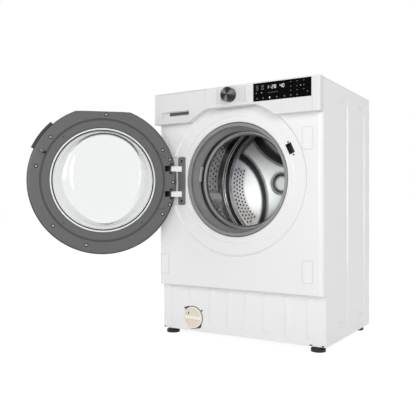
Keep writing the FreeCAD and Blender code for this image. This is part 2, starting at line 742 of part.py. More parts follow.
def groove_outline(x, opening, turn, width, pull):
    """Bracket-shaped outline of one pressed groove on the plane x."""
    half = width / 2
    outer = GROOVE_BEND + half
    inner = GROOVE_BEND - half
    corners = [(opening + pull, GROOVE_LOW - half), (turn + half, GROOVE_LOW - half, outer),
               (turn + half, GROOVE_HIGH + half, outer), (opening + pull, GROOVE_HIGH + half),
               (opening + pull, GROOVE_HIGH - half), (turn - half, GROOVE_HIGH - half, inner),
               (turn - half, GROOVE_LOW + half, inner), (opening + pull, GROOVE_LOW + half)]
    return closed_wire(corners, lambda y, z: at(x, FRONT + y, z))


def side_panel():
    """Right side sheet with its pressed grooves and the tongue the suspension spring hangs from."""
    outline = [(PLINTH_Y, GROUND_GAP), (REAR, GROUND_GAP), (REAR, HEIGHT - SHEET),
               (PANEL_Y, HEIGHT - SHEET), (PANEL_Y, PANEL_TOP), (PLINTH_Y, PANEL_TOP)]
    panel = plate_yz(outline, INNER_HALF, BODY_HALF)
    bottom = BODY_HALF - GROOVE_DEPTH
    narrow = GROOVE_WIDTH - 2 * GROOVE_FLANK
    for opening, turn in zip(GROOVE_OPEN, GROOVE_TURN):
        backing = Part.makeLoft([groove_outline(INNER_HALF + SHEET / 2, opening, turn, GROOVE_WIDTH + SHEET, -SHEET),
                                 groove_outline(bottom - SHEET, opening, turn, narrow + SHEET, SHEET)], True, True)
        pressing = Part.makeLoft([groove_outline(BODY_HALF, opening, turn, GROOVE_WIDTH, 0.0),
                                  groove_outline(bottom, opening, turn, narrow, GROOVE_FLANK)], True, True)
        panel = panel.fuse(backing).cut(pressing)
    y = FRONT + SPRING_SETBACK
    plate = block(INNER_HALF - SHEET, INNER_HALF, y - HANGER_PLATE, y + HANGER_PLATE,
                  HANGER_Z - HANGER_PLATE, HANGER_Z + HANGER_PLATE / 2)
    tongue = block(SPRING_X - 2 * HANGER_THICKNESS, INNER_HALF, y - HANGER_HALF, y + HANGER_HALF,
                   HANGER_Z, HANGER_Z + HANGER_THICKNESS)
    return panel.fuse(plate).fuse(tongue).removeSplitter()


def rear_panel():
    """Rear sheet with the service opening and the holes for its fittings."""
    panel = block(-INNER_HALF, INNER_HALF, REAR - SHEET, REAR, GROUND_GAP, HEIGHT - SHEET)
    holes = [rod_y(REAR_OPENING_RADIUS, 0, AXIS_HEIGHT, REAR - 2 * SHEET, REAR + SHEET)]
    fittings = [(INLET_X, INLET_Z, VALVE_THREAD_RADIUS), (GLAND_X, GLAND_Z, GLAND_RADIUS),
                (FILTER_X + PUMP_PORT_OFFSET, FILTER_Z, OUTLET_RADIUS)]
    fittings += [(side * TRANSIT_X, z, TRANSIT_RADIUS) for side in (-1, 1) for z in TRANSIT_HEIGHTS]
    for x, z, radius in fittings:
        holes.append(rod_y(radius + FITTING_GAP, x, z, REAR - 2 * SHEET, REAR + SHEET))
    return panel.cut(Part.makeCompound(holes))


def rear_access_cover():
    """Dished cover over the service opening."""
    edge = REAR_OPENING_RADIUS + REAR_COVER_LAP
    run = [(edge, REAR + SHEET), (REAR_OPENING_RADIUS, REAR + SHEET),
           (REAR_OPENING_RADIUS - REAR_COVER_SLOPE, REAR + REAR_COVER_BULGE), (0.0, REAR + REAR_COVER_BULGE)]
    return turned(run + [(0.0, REAR + REAR_COVER_BULGE - SHEET),
                         (REAR_OPENING_RADIUS - REAR_COVER_SLOPE - SHEET, REAR + REAR_COVER_BULGE - SHEET),
                         (REAR_OPENING_RADIUS - SHEET, REAR), (edge, REAR)])


def top_panel():
    """Top sheet with a turned-down rim inside the side sheets."""
    rim = 6 * SHEET
    inset = INNER_HALF - SHEET
    sheet = block(-BODY_HALF, BODY_HALF, PANEL_Y, REAR, HEIGHT - SHEET, HEIGHT)
    outer = block(-inset, inset, PLINTH_Y, REAR - 2 * SHEET, HEIGHT - rim, HEIGHT - SHEET)
    inner = block(-inset + SHEET, inset - SHEET, PLINTH_Y + SHEET, REAR - 3 * SHEET, HEIGHT - 2 * rim, HEIGHT)
    return sheet.fuse(outer.cut(inner)).removeSplitter()


def base_pan():
    """Moulded floor tray with foot bosses and damper sockets."""
    front = PLINTH_Y + SHEET
    back = REAR - SHEET
    top = GROUND_GAP + PAN_HEIGHT
    pan = block(-INNER_HALF, INNER_HALF, front, back, GROUND_GAP, top)
    pan = pan.cut(block(-INNER_HALF + PAN_WALL, INNER_HALF - PAN_WALL, front + PAN_WALL, back - PAN_WALL,
                        FLOOR_TOP, top + PAN_WALL))
    pan = pan.cut(rod_y(FILTER_FLANGE_RADIUS + PAN_WALL, FILTER_X, FILTER_Z, front - PAN_WALL, front + 2 * PAN_WALL))
    rib = block(-INNER_HALF + PAN_WALL, INNER_HALF - PAN_WALL, -PAN_WALL, PAN_WALL, FLOOR_TOP, FLOOR_TOP + PAN_HEIGHT / 3)
    cut_rib = block(FILTER_X - FILTER_FLANGE_RADIUS, FILTER_X + FILTER_FLANGE_RADIUS, -PAN_HEIGHT, PAN_HEIGHT,
                    FLOOR_TOP, top)
    pan = pan.fuse(rib.cut(cut_rib))
    bores = []
    for side in (-1, 1):
        for y in (-FOOT_Y, FOOT_Y):
            pan = pan.fuse(rod_z(FOOT_BOSS_RADIUS, side * FOOT_X, y, GROUND_GAP, FLOOR_TOP + FOOT_BOSS_HEIGHT))
            bores.append(rod_z(FOOT_STEM_RADIUS + FOOT_STEM_GAP, side * FOOT_X, y, 0, HEIGHT / 4))
        y = FRONT + DAMPER_SETBACK
        pan = pan.fuse(rod_z(DAMPER_SOCKET_RADIUS, side * DAMPER_X, y, FLOOR_TOP, FLOOR_TOP + DAMPER_SOCKET_HEIGHT))
        bores.append(rod_z(DAMPER_ROD_RADIUS + SOCKET_GAP, side * DAMPER_X, y, FLOOR_TOP, HEIGHT / 4))
    return pan.cut(Part.makeCompound(bores)).removeSplitter()


def foot(x, y):
    """Levelling foot: broad pad, cone and threaded stem."""
    profile = [(0, 0), (FOOT_RADIUS, 0), (FOOT_RADIUS, FOOT_PAD_HEIGHT), (FOOT_NECK_RADIUS, GROUND_GAP),
               (FOOT_STEM_RADIUS, GROUND_GAP), (FOOT_STEM_RADIUS, GROUND_GAP + FOOT_STEM_LENGTH),
               (0, GROUND_GAP + FOOT_STEM_LENGTH)]
    return turned_upright(profile, x, y)


# Front of the cabinet

def arch_form(grow):
    """Space under the fascia, arched for the flattened top of the door, with rounded feet and crest."""
    radius = ARCH_RADIUS + grow
    flat = ARCH_FLAT + grow
    sill = FASCIA_BOTTOM - AXIS_HEIGHT + grow
    foot = ARCH_FOOT_ROUND - grow
    crest = ARCH_CREST_ROUND + grow
    foot_x = math.sqrt((radius + foot) ** 2 - (sill + foot) ** 2)
    crest_x = math.sqrt((radius - crest) ** 2 - (flat - crest) ** 2)
    y = FRONT - HEIGHT

    def point(x, z):
        return at(x, y, AXIS_HEIGHT + z)

    def on_circle(centre_x, centre_z, size, toward_x, toward_z):
        reach = size / math.hypot(toward_x, toward_z)
        return centre_x + toward_x * reach, centre_z + toward_z * reach

    right_edges = []
    left_edges = []
    for side, edges in ((1, right_edges), (-1, left_edges)):
        spring = on_circle(0, 0, radius, foot_x, sill + foot)
        shoulder = on_circle(0, 0, radius, crest_x, flat - crest)
        middle = on_circle(0, 0, radius, spring[0] + shoulder[0], spring[1] + shoulder[1])
        foot_middle = on_circle(foot_x, sill + foot, foot, spring[0] - foot_x, spring[1] - sill - 2 * foot)
        crest_middle = on_circle(crest_x, flat - crest, crest, shoulder[0] - crest_x, shoulder[1] - flat + 2 * crest)
        stops = [(WIDTH, sill), (foot_x, sill), foot_middle, spring, middle, shoulder, crest_middle, (crest_x, flat)]
        ends = [point(side * x, z) for x, z in stops]
        edges.append(Part.LineSegment(ends[0], ends[1]).toShape())
        for first in (1, 3, 5):
            edges.append(Part.Arc(ends[first], ends[first + 1], ends[first + 2]).toShape())
    crown = Part.LineSegment(point(crest_x, flat), point(-crest_x, flat)).toShape()
    drop = -AXIS_HEIGHT
    floor = [Part.LineSegment(point(-WIDTH, sill), point(-WIDTH, drop)).toShape(),
             Part.LineSegment(point(-WIDTH, drop), point(WIDTH, drop)).toShape(),
             Part.LineSegment(point(WIDTH, drop), point(WIDTH, sill)).toShape()]
    outline = Part.Wire(right_edges + [crown] + left_edges[::-1] + floor)
    return Part.Face(outline).extrude(at(0, REAR - y, 0))


def fascia_form(inset, back):
    """Outer or inner volume of the fascia moulding."""
    half = WIDTH / 2 - inset
    corner = FASCIA_CORNER - inset / 2
    plan = [(-half, back), (-half, FRONT + inset, corner), (half, FRONT + inset, corner), (half, back)]
    return plate_xy(plan, AXIS_HEIGHT, HEIGHT - inset).cut(arch_form(inset))


def fascia():
    """Control fascia: open-backed moulding with a drawer bay, display seat and knob hole."""
    shell = fascia_form(0.0, PANEL_Y).cut(fascia_form(FASCIA_WALL, PANEL_Y + FASCIA_WALL))
    full = fascia_form(0.0, PANEL_Y)
    for x in (DRAWER_LEFT - FASCIA_WALL, DRAWER_RIGHT):
        shell = shell.fuse(block(x, x + FASCIA_WALL, FRONT, PANEL_Y, FASCIA_BOTTOM, HEIGHT).common(full))
    bay = block(DRAWER_LEFT, DRAWER_RIGHT, FRONT - FASCIA_WALL, PANEL_Y + FASCIA_WALL,
                FASCIA_BOTTOM - FASCIA_WALL, HEIGHT - FASCIA_WALL)
    left = DISPLAY_CENTRE_X - DISPLAY_WIDTH / 2
    right = DISPLAY_CENTRE_X + DISPLAY_WIDTH / 2
    top = DISPLAY_BOTTOM + DISPLAY_HEIGHT
    seat = block(left, right, FRONT - 1, FRONT + DISPLAY_SEAT, DISPLAY_BOTTOM, top)
    window = block(left + DISPLAY_LEDGE, right - DISPLAY_LEDGE, FRONT, FRONT + 2 * FASCIA_WALL,
                   DISPLAY_BOTTOM + DISPLAY_LEDGE, top - DISPLAY_LEDGE)
    stem = rod_y(2 * KNOB_STEM_RADIUS, 0, KNOB_HEIGHT, FRONT - 1, FRONT + 2 * FASCIA_WALL)
    return shell.cut(bay).cut(seat).cut(window).cut(stem).removeSplitter()


def display_window():
    """Dark glass of the display, seated flush in the fascia."""
    half = DISPLAY_WIDTH / 2 - DISPLAY_GAP
    return block(DISPLAY_CENTRE_X - half, DISPLAY_CENTRE_X + half, FRONT, FRONT + DISPLAY_SEAT,
                 DISPLAY_BOTTOM + DISPLAY_GAP, DISPLAY_BOTTOM + DISPLAY_HEIGHT - DISPLAY_GAP)


def control_board():
    """Circuit board behind the fascia with the encoder that carries the knob."""
    front = FRONT + FASCIA_WALL
    back = front + BOARD_THICKNESS
    right = DISPLAY_CENTRE_X + DISPLAY_WIDTH / 2
    low = AXIS_HEIGHT + ARCH_FLAT + 2 * FASCIA_WALL
    board = block(-KNOB_RADIUS, right, front, back, low, HEIGHT - 2 * FASCIA_WALL)
    encoder = block(-BOARD_MARGIN, BOARD_MARGIN, back, back + BOARD_MARGIN,
                    KNOB_HEIGHT - BOARD_MARGIN, KNOB_HEIGHT + BOARD_MARGIN)
    relay = block(DISPLAY_CENTRE_X - 3 * BOARD_MARGIN, DISPLAY_CENTRE_X + 3 * BOARD_MARGIN, back, back + BOARD_MARGIN,
                  KNOB_HEIGHT - BOARD_MARGIN, KNOB_HEIGHT + BOARD_MARGIN)
    stem = rod_y(KNOB_STEM_RADIUS, 0, KNOB_HEIGHT, FRONT - KNOB_GAP - KNOB_STEM_ENGAGE, back)
    return board.fuse(encoder).fuse(relay).fuse(stem).removeSplitter()


def programme_knob():
    """Turned knob with a blind bore for the encoder stem and a pointer groove."""
    back = FRONT - KNOB_GAP
    front = back - KNOB_LENGTH
    bore = KNOB_STEM_RADIUS + KNOB_STEM_GAP
    bore_end = back - KNOB_STEM_ENGAGE - KNOB_GAP
    profile = [(0, front), (KNOB_RADIUS - KNOB_RIM, front), (KNOB_RADIUS, front + KNOB_RIM), (KNOB_RADIUS, back),
               (bore, back), (bore, bore_end), (0, bore_end)]
    knob = turned(profile, 0, KNOB_HEIGHT)
    mark = block(-KNOB_RIM / 2, KNOB_RIM / 2, front - 1, front + KNOB_RIM / 3,
                 KNOB_HEIGHT + KNOB_RADIUS * 0.62, KNOB_HEIGHT + KNOB_RADIUS * 0.88)
    mark.rotate(at(0, 0, KNOB_HEIGHT), at(0, -1, 0), 150)
    return knob.cut(mark)


def panel_form(inset, top):
    """Outer or inner volume of the front panel's rounded tray."""
    half = BODY_HALF - inset
    face = PANEL_Y + inset
    plan = [(-half, PLINTH_Y), (-half, face, PANEL_CORNER - inset), (half, face, PANEL_CORNER - inset), (half, PLINTH_Y)]
    side = [(PLINTH_Y, PANEL_BOTTOM + inset), (PLINTH_Y, top), (face, top),
            (face, PANEL_BOTTOM + inset, PANEL_FOOT_RADIUS - inset)]
    return plate_xy(plan, 0, top).common(plate_yz(side, -WIDTH, WIDTH))


def recess_profile():
    """Front surface of the door recess from its rim in to the end of the mouth collar."""
    floor = RECESS_Y
    raised = floor - RECESS_STEP
    bead = raised - BEAD_HEIGHT
    return [(RECESS_RADIUS + 2 * SHEET, PANEL_Y), (RECESS_RADIUS, PANEL_Y), (RECESS_RADIUS - RECESS_SLOPE, floor),
            (RECESS_STEP_RADIUS, floor), (RECESS_STEP_RADIUS - 2 * RECESS_STEP, raised),
            (BEAD_RADIUS + BEAD_HEIGHT, raised), (BEAD_RADIUS, bead), (MOUTH_RADIUS + SHEET, bead),
            (MOUTH_RADIUS, bead + SHEET), (MOUTH_RADIUS, PANEL_Y + RECESS_DEPTH + COLLAR_LENGTH)]


def latch_box(radial, tangent, y0, y1):
    """Block centred on the latch, turned to its place around the door."""
    return spin(block(LATCH_RADIUS - radial / 2, LATCH_RADIUS + radial / 2, y0, y1,
                      AXIS_HEIGHT - tangent / 2, AXIS_HEIGHT + tangent / 2), LATCH_ANGLE)


def pad_places():
    """Centres of the four furniture-hinge pads."""
    return [(x, z) for x in (PAD_LEFT_X, PAD_RIGHT_X) for z in (PAD_LOW_Z, PAD_HIGH_Z)]


def hinge_pocket_sheet():
    """Sheet around the flat hinge pocket, before the pocket itself is pressed in."""
    right = BRACKET_RIGHT + HINGE_POCKET_GAP
    low = BRACKET_BOTTOM - HINGE_POCKET_GAP - SHEET
    high = BRACKET_TOP + HINGE_POCKET_GAP + SHEET
    left = HINGE_POCKET_LEFT - SHEET
    floor = block(left, right + SHEET, RECESS_Y, RECESS_Y + SHEET, low, high)
    walls = block(left, right, PANEL_Y, RECESS_Y + SHEET, low, high)
    walls = walls.cut(rod_y(RECESS_RADIUS, 0, AXIS_HEIGHT, PANEL_Y - SHEET, RECESS_Y + 2 * SHEET))
    chord = math.sqrt(RECESS_STEP_RADIUS ** 2 - right ** 2)
    step = block(right, right + SHEET, RECESS_Y - RECESS_STEP, RECESS_Y, AXIS_HEIGHT - chord, AXIS_HEIGHT + chord)
    return floor.fuse([walls, step])


def front_panel():
    """Front sheet with its round door recess, hinge pocket, lock slot and pad openings."""
    tab_top = AXIS_HEIGHT + ARCH_FLAT + TAB_MARGIN
    tray = panel_form(0.0, PANEL_TOP).cut(panel_form(SHEET, PANEL_TOP + SHEET))
    tab = rod_y(RECESS_RADIUS + TAB_MARGIN, 0, AXIS_HEIGHT, PANEL_Y, PANEL_Y + SHEET)
    panel = tray.fuse(tab)
    panel = panel.cut(rod_y(RECESS_RADIUS + SHEET, 0, AXIS_HEIGHT, PANEL_Y - SHEET, PANEL_Y + 2 * SHEET))
    panel = panel.fuse(turned(skin(recess_profile(), SHEET)))
    panel = panel.fuse(hinge_pocket_sheet())
    panel = panel.cut(block(HINGE_POCKET_LEFT, BRACKET_RIGHT + HINGE_POCKET_GAP, PANEL_Y - SHEET, RECESS_Y,
                            BRACKET_BOTTOM - HINGE_POCKET_GAP, BRACKET_TOP + HINGE_POCKET_GAP))
    panel = panel.cut(block(-WIDTH, WIDTH, FRONT - HEIGHT, REAR, tab_top, HEIGHT))
    panel = panel.cut(latch_box(LOCK_SLOT_RADIAL, LOCK_SLOT_TANGENT, PANEL_Y - SHEET, RECESS_Y + 2 * SHEET))
    width = PAD_WIDTH / 2 - PAD_PLUG_INSET + PAD_GAP
    height = PAD_HEIGHT / 2 - PAD_PLUG_INSET + PAD_GAP
    for x, z in pad_places():
        panel = panel.cut(plate_xz(rectangle(x - width, x + width, z - height, z + height, PAD_CORNER - PAD_PLUG_INSET),
                                   PANEL_Y - SHEET, PANEL_Y + 2 * SHEET))
    for z in (BRACKET_BOTTOM + BRACKET_HOLE_INSET, BRACKET_TOP - BRACKET_HOLE_INSET):
        x = (BRACKET_LEFT + BRACKET_RIGHT) / 2
        panel = panel.cut(rod_y(BRACKET_HOLE_RADIUS, x, z, PANEL_Y, RECESS_Y + 2 * SHEET))
    return panel.removeSplitter()


def hinge_blanking_covers():
    """Four snap-in covers over the furniture-hinge pads."""
    covers = []
    for x, z in pad_places():
        half_w = PAD_WIDTH / 2
        half_h = PAD_HEIGHT / 2
        flange = plate_xz(rectangle(x - half_w, x + half_w, z - half_h, z + half_h, PAD_CORNER), PANEL_Y - PAD_COVER, PANEL_Y)
        inset = PAD_PLUG_INSET
        plug = plate_xz(rectangle(x - half_w + inset, x + half_w - inset, z - half_h + inset, z + half_h - inset,
                                  PAD_CORNER - inset), PANEL_Y, PANEL_Y + PAD_PLUG_DEPTH)
        notch = block(x - half_w, x - half_w + PAD_COVER, PANEL_Y - 2 * PAD_COVER, PANEL_Y,
                      z - half_h / 6, z + half_h / 6)
        covers.append(flange.cut(notch).fuse(plug).removeSplitter())
    return Part.makeCompound(covers)


def rib_outline(x, low, y, half):
    """Upright slot outline with rounded ends."""
    corners = rectangle(x - half, x + half, low - half, RIB_TOP + half, half * 0.9)
    return closed_wire(corners, lambda u, v: at(u, y, v))


def plinth_panel():
    """Set-back plinth sheet with raised upright ribs and the notched filter opening."""
    panel = block(-INNER_HALF, INNER_HALF, PLINTH_Y, PLINTH_Y + SHEET, GROUND_GAP, PANEL_BOTTOM + PANEL_CORNER)
    half = RIB_WIDTH / 2
    raised = []
    hollows = []
    for x in PLINTH_RIBS:
        over_cap = abs(x - FILTER_X) < CAP_OPENING_RADIUS + half
        low = RIB_BOTTOM_OVER_CAP if over_cap else RIB_BOTTOM
        low += half
        face = PLINTH_Y - RIB_PROUD
        raised.append(Part.makeLoft([rib_outline(x, low, PLINTH_Y, half),
                                     rib_outline(x, low, face, half - RIB_DRAFT)], True, True))
        hollows.append(Part.makeLoft([rib_outline(x, low, PLINTH_Y + SHEET, half - SHEET / 2),
                                      rib_outline(x, low, face + SHEET, half - RIB_DRAFT - SHEET / 2)], True, True))
    panel = panel.fuse(raised).cut(Part.makeCompound(hollows))
    openings = [rod_y(CAP_OPENING_RADIUS, FILTER_X, FILTER_Z, PLINTH_Y - SHEET, PLINTH_Y + 2 * SHEET)]
    for angle in CAP_NOTCH_ANGLES:
        x = FILTER_X + CAP_NOTCH_OFFSET * math.cos(math.radians(angle))
        z = FILTER_Z + CAP_NOTCH_OFFSET * math.sin(math.radians(angle))
        openings.append(rod_y(CAP_NOTCH_RADIUS, x, z, PLINTH_Y - SHEET, PLINTH_Y + 2 * SHEET))
    return panel.cut(openings).removeSplitter()


# Detergent drawer and dispenser

def drawer_front():
    """Drawer face with a scooped grip and a finger slot, cut to the door arch below."""
    left = DRAWER_LEFT + DRAWER_GAP
    right = DRAWER_RIGHT - DRAWER_GAP
    top = HEIGHT - FASCIA_WALL - DRAWER_GAP
    face = block(left, right, FRONT, FRONT + DRAWER_PLATE, FASCIA_BOTTOM - FASCIA_WALL, top)
    soffit = block(left, right, FRONT, DRAWER_BACK_Y, FASCIA_BOTTOM - FASCIA_WALL, HANDLE_TOP).common(arch_form(FASCIA_WALL))
    grip = block(HANDLE_LEFT - FASCIA_WALL, HANDLE_RIGHT + FASCIA_WALL, FRONT, DRAWER_BACK_Y,
                 HANDLE_BOTTOM - FASCIA_WALL, HANDLE_TOP + FASCIA_WALL)
    x0 = TRAY_SECTION[0][0]
    x1 = TRAY_SECTION[-1][0]
    neck = block(x0, x1, FRONT, DRAWER_BACK_Y, HANDLE_TOP + FASCIA_WALL, TRAY_SECTION[0][1])
    scoop_section = [(FRONT - 1, HANDLE_BOTTOM), (FRONT + 1, HANDLE_BOTTOM), (FRONT + SCOOP_DEPTH, SLOT_BOTTOM),
                     (FRONT + SCOOP_DEPTH, HANDLE_TOP), (FRONT - 1, HANDLE_TOP)]
    scoop = plate_yz(scoop_section, HANDLE_LEFT, HANDLE_RIGHT)
    slot = block(SLOT_LEFT, SLOT_RIGHT, FRONT, FRONT + SLOT_DEPTH, SLOT_BOTTOM, SLOT_TOP)
    return face.fuse([soffit, grip, neck]).cut(arch_form(0.0)).cut(scoop).cut(slot).removeSplitter()


def drawer_tray():
    """Open tray with three compartments behind the drawer face."""
    back = DRAWER_BACK_Y + TRAY_LENGTH
    top = TRAY_SECTION[0][1]
    outer = plate_xz(TRAY_SECTION, DRAWER_BACK_Y, back)
    inner_section = offset_points(TRAY_SECTION, -TRAY_WALL, True)
    inner = plate_xz(inner_section, DRAWER_BACK_Y + TRAY_WALL, back - TRAY_WALL)
    lid = block(TRAY_SECTION[0][0] + TRAY_WALL, TRAY_SECTION[-1][0] - TRAY_WALL, DRAWER_BACK_Y + TRAY_WALL,
                back - TRAY_WALL, top - 2 * TRAY_WALL, top + TRAY_WALL)
    tray = outer.cut(inner).cut(lid)
    for x in TRAY_PARTITIONS:
        wall = block(x - TRAY_WALL / 2, x + TRAY_WALL / 2, DRAWER_BACK_Y, back, TRAY_SECTION[1][1], top - 3 * TRAY_WALL)
        tray = tray.fuse(wall.common(outer))
    return tray.removeSplitter()


def softener_siphon():
    """Siphon cap standing in the softener compartment."""
    x = sum(TRAY_PARTITIONS) / 2
    y = DRAWER_BACK_Y + TRAY_LENGTH - 4 * SIPHON_RADIUS
    floor = TRAY_SECTION[1][1] + TRAY_WALL
    slope = offset_points(TRAY_SECTION, -TRAY_WALL, True)
    post = rod_z(SIPHON_RADIUS, x, y, floor - SIPHON_HEIGHT, floor + SIPHON_HEIGHT)
    inside = plate_xz(slope, DRAWER_BACK_Y, DRAWER_BACK_Y + TRAY_LENGTH)
    cap = block(TRAY_PARTITIONS[0] + TRAY_WALL, TRAY_PARTITIONS[1] - TRAY_WALL, y - 2 * SIPHON_RADIUS,
                y + 2 * SIPHON_RADIUS, floor + SIPHON_HEIGHT, floor + SIPHON_HEIGHT + TRAY_WALL)
    return post.common(inside).fuse(cap).removeSplitter()


def dispenser_housing():
    """Water box the drawer runs in, with its fill spout and inlet stub."""
    clear = TRAY_RUNNING_GAP
    back = DRAWER_BACK_Y + TRAY_LENGTH + clear
    cavity = offset_points(TRAY_SECTION, clear, True)
    outside = offset_points(TRAY_SECTION, clear + DISPENSER_WALL, True)
    rim = offset_points(TRAY_SECTION, clear + DISPENSER_WALL + DISPENSER_FLANGE, True)
    end = back + DISPENSER_WALL
    body = plate_xz(outside, PANEL_Y, end)
    roof_bottom = TRAY_SECTION[0][1] + clear
    roof = block(outside[0][0], outside[-1][0], PLINTH_Y + SHEET, end, roof_bottom, roof_bottom + DISPENSER_ROOF)
    flange = plate_xz(rim, PANEL_Y, PANEL_Y + DISPENSER_WALL)
    spout = rod_z(FILL_RADIUS, FILL_X, FRONT + FILL_SETBACK, FILL_SPOUT_BOTTOM, TRAY_SECTION[1][1])
    stub = rod_y(INLET_STUB_RADIUS, INLET_X, INLET_Z, end, end + INLET_STUB_LENGTH)
    body = body.fuse([roof, flange, spout, stub]).cut(plate_xz(cavity, PANEL_Y - 1, back))
    drain = rod_z(FILL_RADIUS - DISPENSER_WALL, FILL_X, FRONT + FILL_SETBACK, FILL_SPOUT_BOTTOM - 1, TRAY_SECTION[1][1])
    feed = rod_y(INLET_STUB_RADIUS - DISPENSER_WALL, INLET_X, INLET_Z, back - 1, end + INLET_STUB_LENGTH + 1)
    return body.cut(drain).cut(feed).removeSplitter()


# Door, drawn shut and swung open on saving

def door_trim(drop=0.0):
    """Space above the flattened top of the door, lowered by a drop."""
    return block(-WIDTH, WIDTH, FRONT - DEPTH, REAR, AXIS_HEIGHT + DOOR_FLAT - drop, 2 * HEIGHT)


def hinge_notches():
    """Slots in the door frame for the hinge arms, with the pin bores that cross them."""
    half = HINGE_ARM_HALF + HINGE_NOTCH_GAP
    cuts = []
    for z in HINGE_ARM_HEIGHTS:
        cuts.append(block(-WIDTH, HINGE_NOTCH_INNER_X, HINGE_Y - HINGE_EYE_RADIUS - 1, REAR, z - half, z + half))
        reach = half + HINGE_PIN_ANCHOR
        cuts.append(rod_z(HINGE_PIN_RADIUS, HINGE_X, HINGE_Y, z - reach, z + reach))
    return cuts


def door_outer_frame():
    """Domed outer ring of the door with its grip lobe and window seat."""
    face = FRONT - DOOR_PROUD
    back = FRONT + DOOR_SPLIT
    seat = back - WINDOW_THICKNESS - WINDOW_GAP
    profile = [(WINDOW_LIP_RADIUS, seat), (WINDOW_LIP_RADIUS, face + WINDOW_LIP_DROP, WINDOW_LIP_ROUND),
               (WINDOW_LIP_RADIUS + WINDOW_LIP_SLOPE, face, WINDOW_LIP_SLOPE * 0.6), (DOOR_RADIUS - DOME_RUN, face, DOME_ROUND),
               (DOOR_RADIUS, face + DOME_RUN / 2, DOOR_RIM_ROUND), (DOOR_RADIUS, back),
               (WINDOW_SEAT_RADIUS, back), (WINDOW_SEAT_RADIUS, seat)]
    ring = turned(profile).cut(door_trim())
    lobe = turned([(DOOR_RADIUS - DOME_RUN / 2, FRONT + HANDLE_LOBE_FRONT), (HANDLE_LOBE_RADIUS, FRONT + HANDLE_LOBE_FRONT, 4),
                   (HANDLE_LOBE_RADIUS, back, 2), (DOOR_RADIUS - DOME_RUN / 2, back)],
                  start=HANDLE_LOBE_START, sweep=HANDLE_LOBE_SWEEP)
    return ring.fuse(lobe).cut(Part.makeCompound(hinge_notches())).removeSplitter()


def door_inner_frame():
    """Inner ring of the door with the glass seat, moulded groove, hinge slots and latch pocket."""
    split = FRONT + DOOR_SPLIT
    face = FRONT + DOOR_INNER_FACE
    seat = split + GLASS_FLANGE + GLASS_SEAT_GAP
    seat_radius = GLASS_EDGE_RADIUS + GLASS_SEAT_GAP
    groove_in = FRAME_GROOVE_RADIUS - FRAME_GROOVE_WIDTH / 2
    groove_out = FRAME_GROOVE_RADIUS + FRAME_GROOVE_WIDTH / 2
    groove = face - FRAME_GROOVE_DEPTH
    rim = DOOR_RADIUS - DOOR_INNER_STEP
    profile = [(seat_radius, split), (rim, split), (rim, face - 7, 3), (rim - 7, face, 6),
               (groove_out + 1, face), (groove_out, groove), (groove_in, groove), (groove_in - 1, face),
               (GLASS_OPENING_RADIUS, face, 3), (GLASS_OPENING_RADIUS, seat), (seat_radius, seat)]
    ring = turned(profile).cut(door_trim(DOOR_INNER_STEP))
    ring = ring.cut(Part.makeCompound(hinge_notches()))
    pocket = latch_box(HOOK_WIDTH + 2 * HOOK_BARB + HOOK_POCKET_GAP, 2 * HOOK_HALF_THICKNESS + 1, split - 1, face + 1)
    pin = spin(rod_z(HOOK_PIN_RADIUS + HOOK_PIN_GAP, LATCH_RADIUS, FRONT + HOOK_PIN_SETBACK,
                     AXIS_HEIGHT - HOOK_PIN_HALF, AXIS_HEIGHT + HOOK_PIN_HALF), LATCH_ANGLE)
    return ring.cut(pocket).cut(pin).removeSplitter()


def bowl_loft(shrink, lift):
    """Closed loft through the elliptic sections of the glass bowl."""
    wires = []
    for setback, half_x, half_z in BOWL_SECTIONS:
        centre = at(0, FRONT + setback - lift, AXIS_HEIGHT)
        ellipse = Part.Ellipse(centre, max(half_x, half_z) - shrink, min(half_x, half_z) - shrink)
        ellipse.Axis = at(0, -1, 0)
        ellipse.XAxis = at(0, 0, 1)
        wires.append(Part.Wire(ellipse.toShape()))
    return Part.makeLoft(wires, True, False)


def door_glass():
    """Pressed glass bowl with the flange held between the two door frames."""
    split = FRONT + DOOR_SPLIT
    inner_radius = BOWL_SECTIONS[0][1] - GLASS_WALL
    flange = turned([(inner_radius, split), (GLASS_EDGE_RADIUS, split), (GLASS_EDGE_RADIUS, split + GLASS_FLANGE),
                     (inner_radius, split + GLASS_FLANGE)])
    glass = flange.fuse(bowl_loft(0.0, 0.0))
    bore = rod_y(inner_radius, 0, AXIS_HEIGHT, split - 1, FRONT + BOWL_SECTIONS[0][0] - GLASS_WALL / 2)
    return glass.cut(bore).cut(bowl_loft(GLASS_WALL, GLASS_WALL)).removeSplitter()


def door_window():
    """Clear outer disc of the door."""
    back = FRONT + DOOR_SPLIT
    return rod_y(WINDOW_SEAT_RADIUS - WINDOW_GAP, 0, AXIS_HEIGHT, back - WINDOW_THICKNESS - WINDOW_GAP, back - WINDOW_GAP)


def door_hinge_pins():
    """Two upright pins fixed in the door frame."""
    reach = HINGE_ARM_HALF + HINGE_NOTCH_GAP + HINGE_PIN_ANCHOR
    return Part.makeCompound([rod_z(HINGE_PIN_RADIUS, HINGE_X, HINGE_Y, z - reach, z + reach)
                              for z in HINGE_ARM_HEIGHTS])


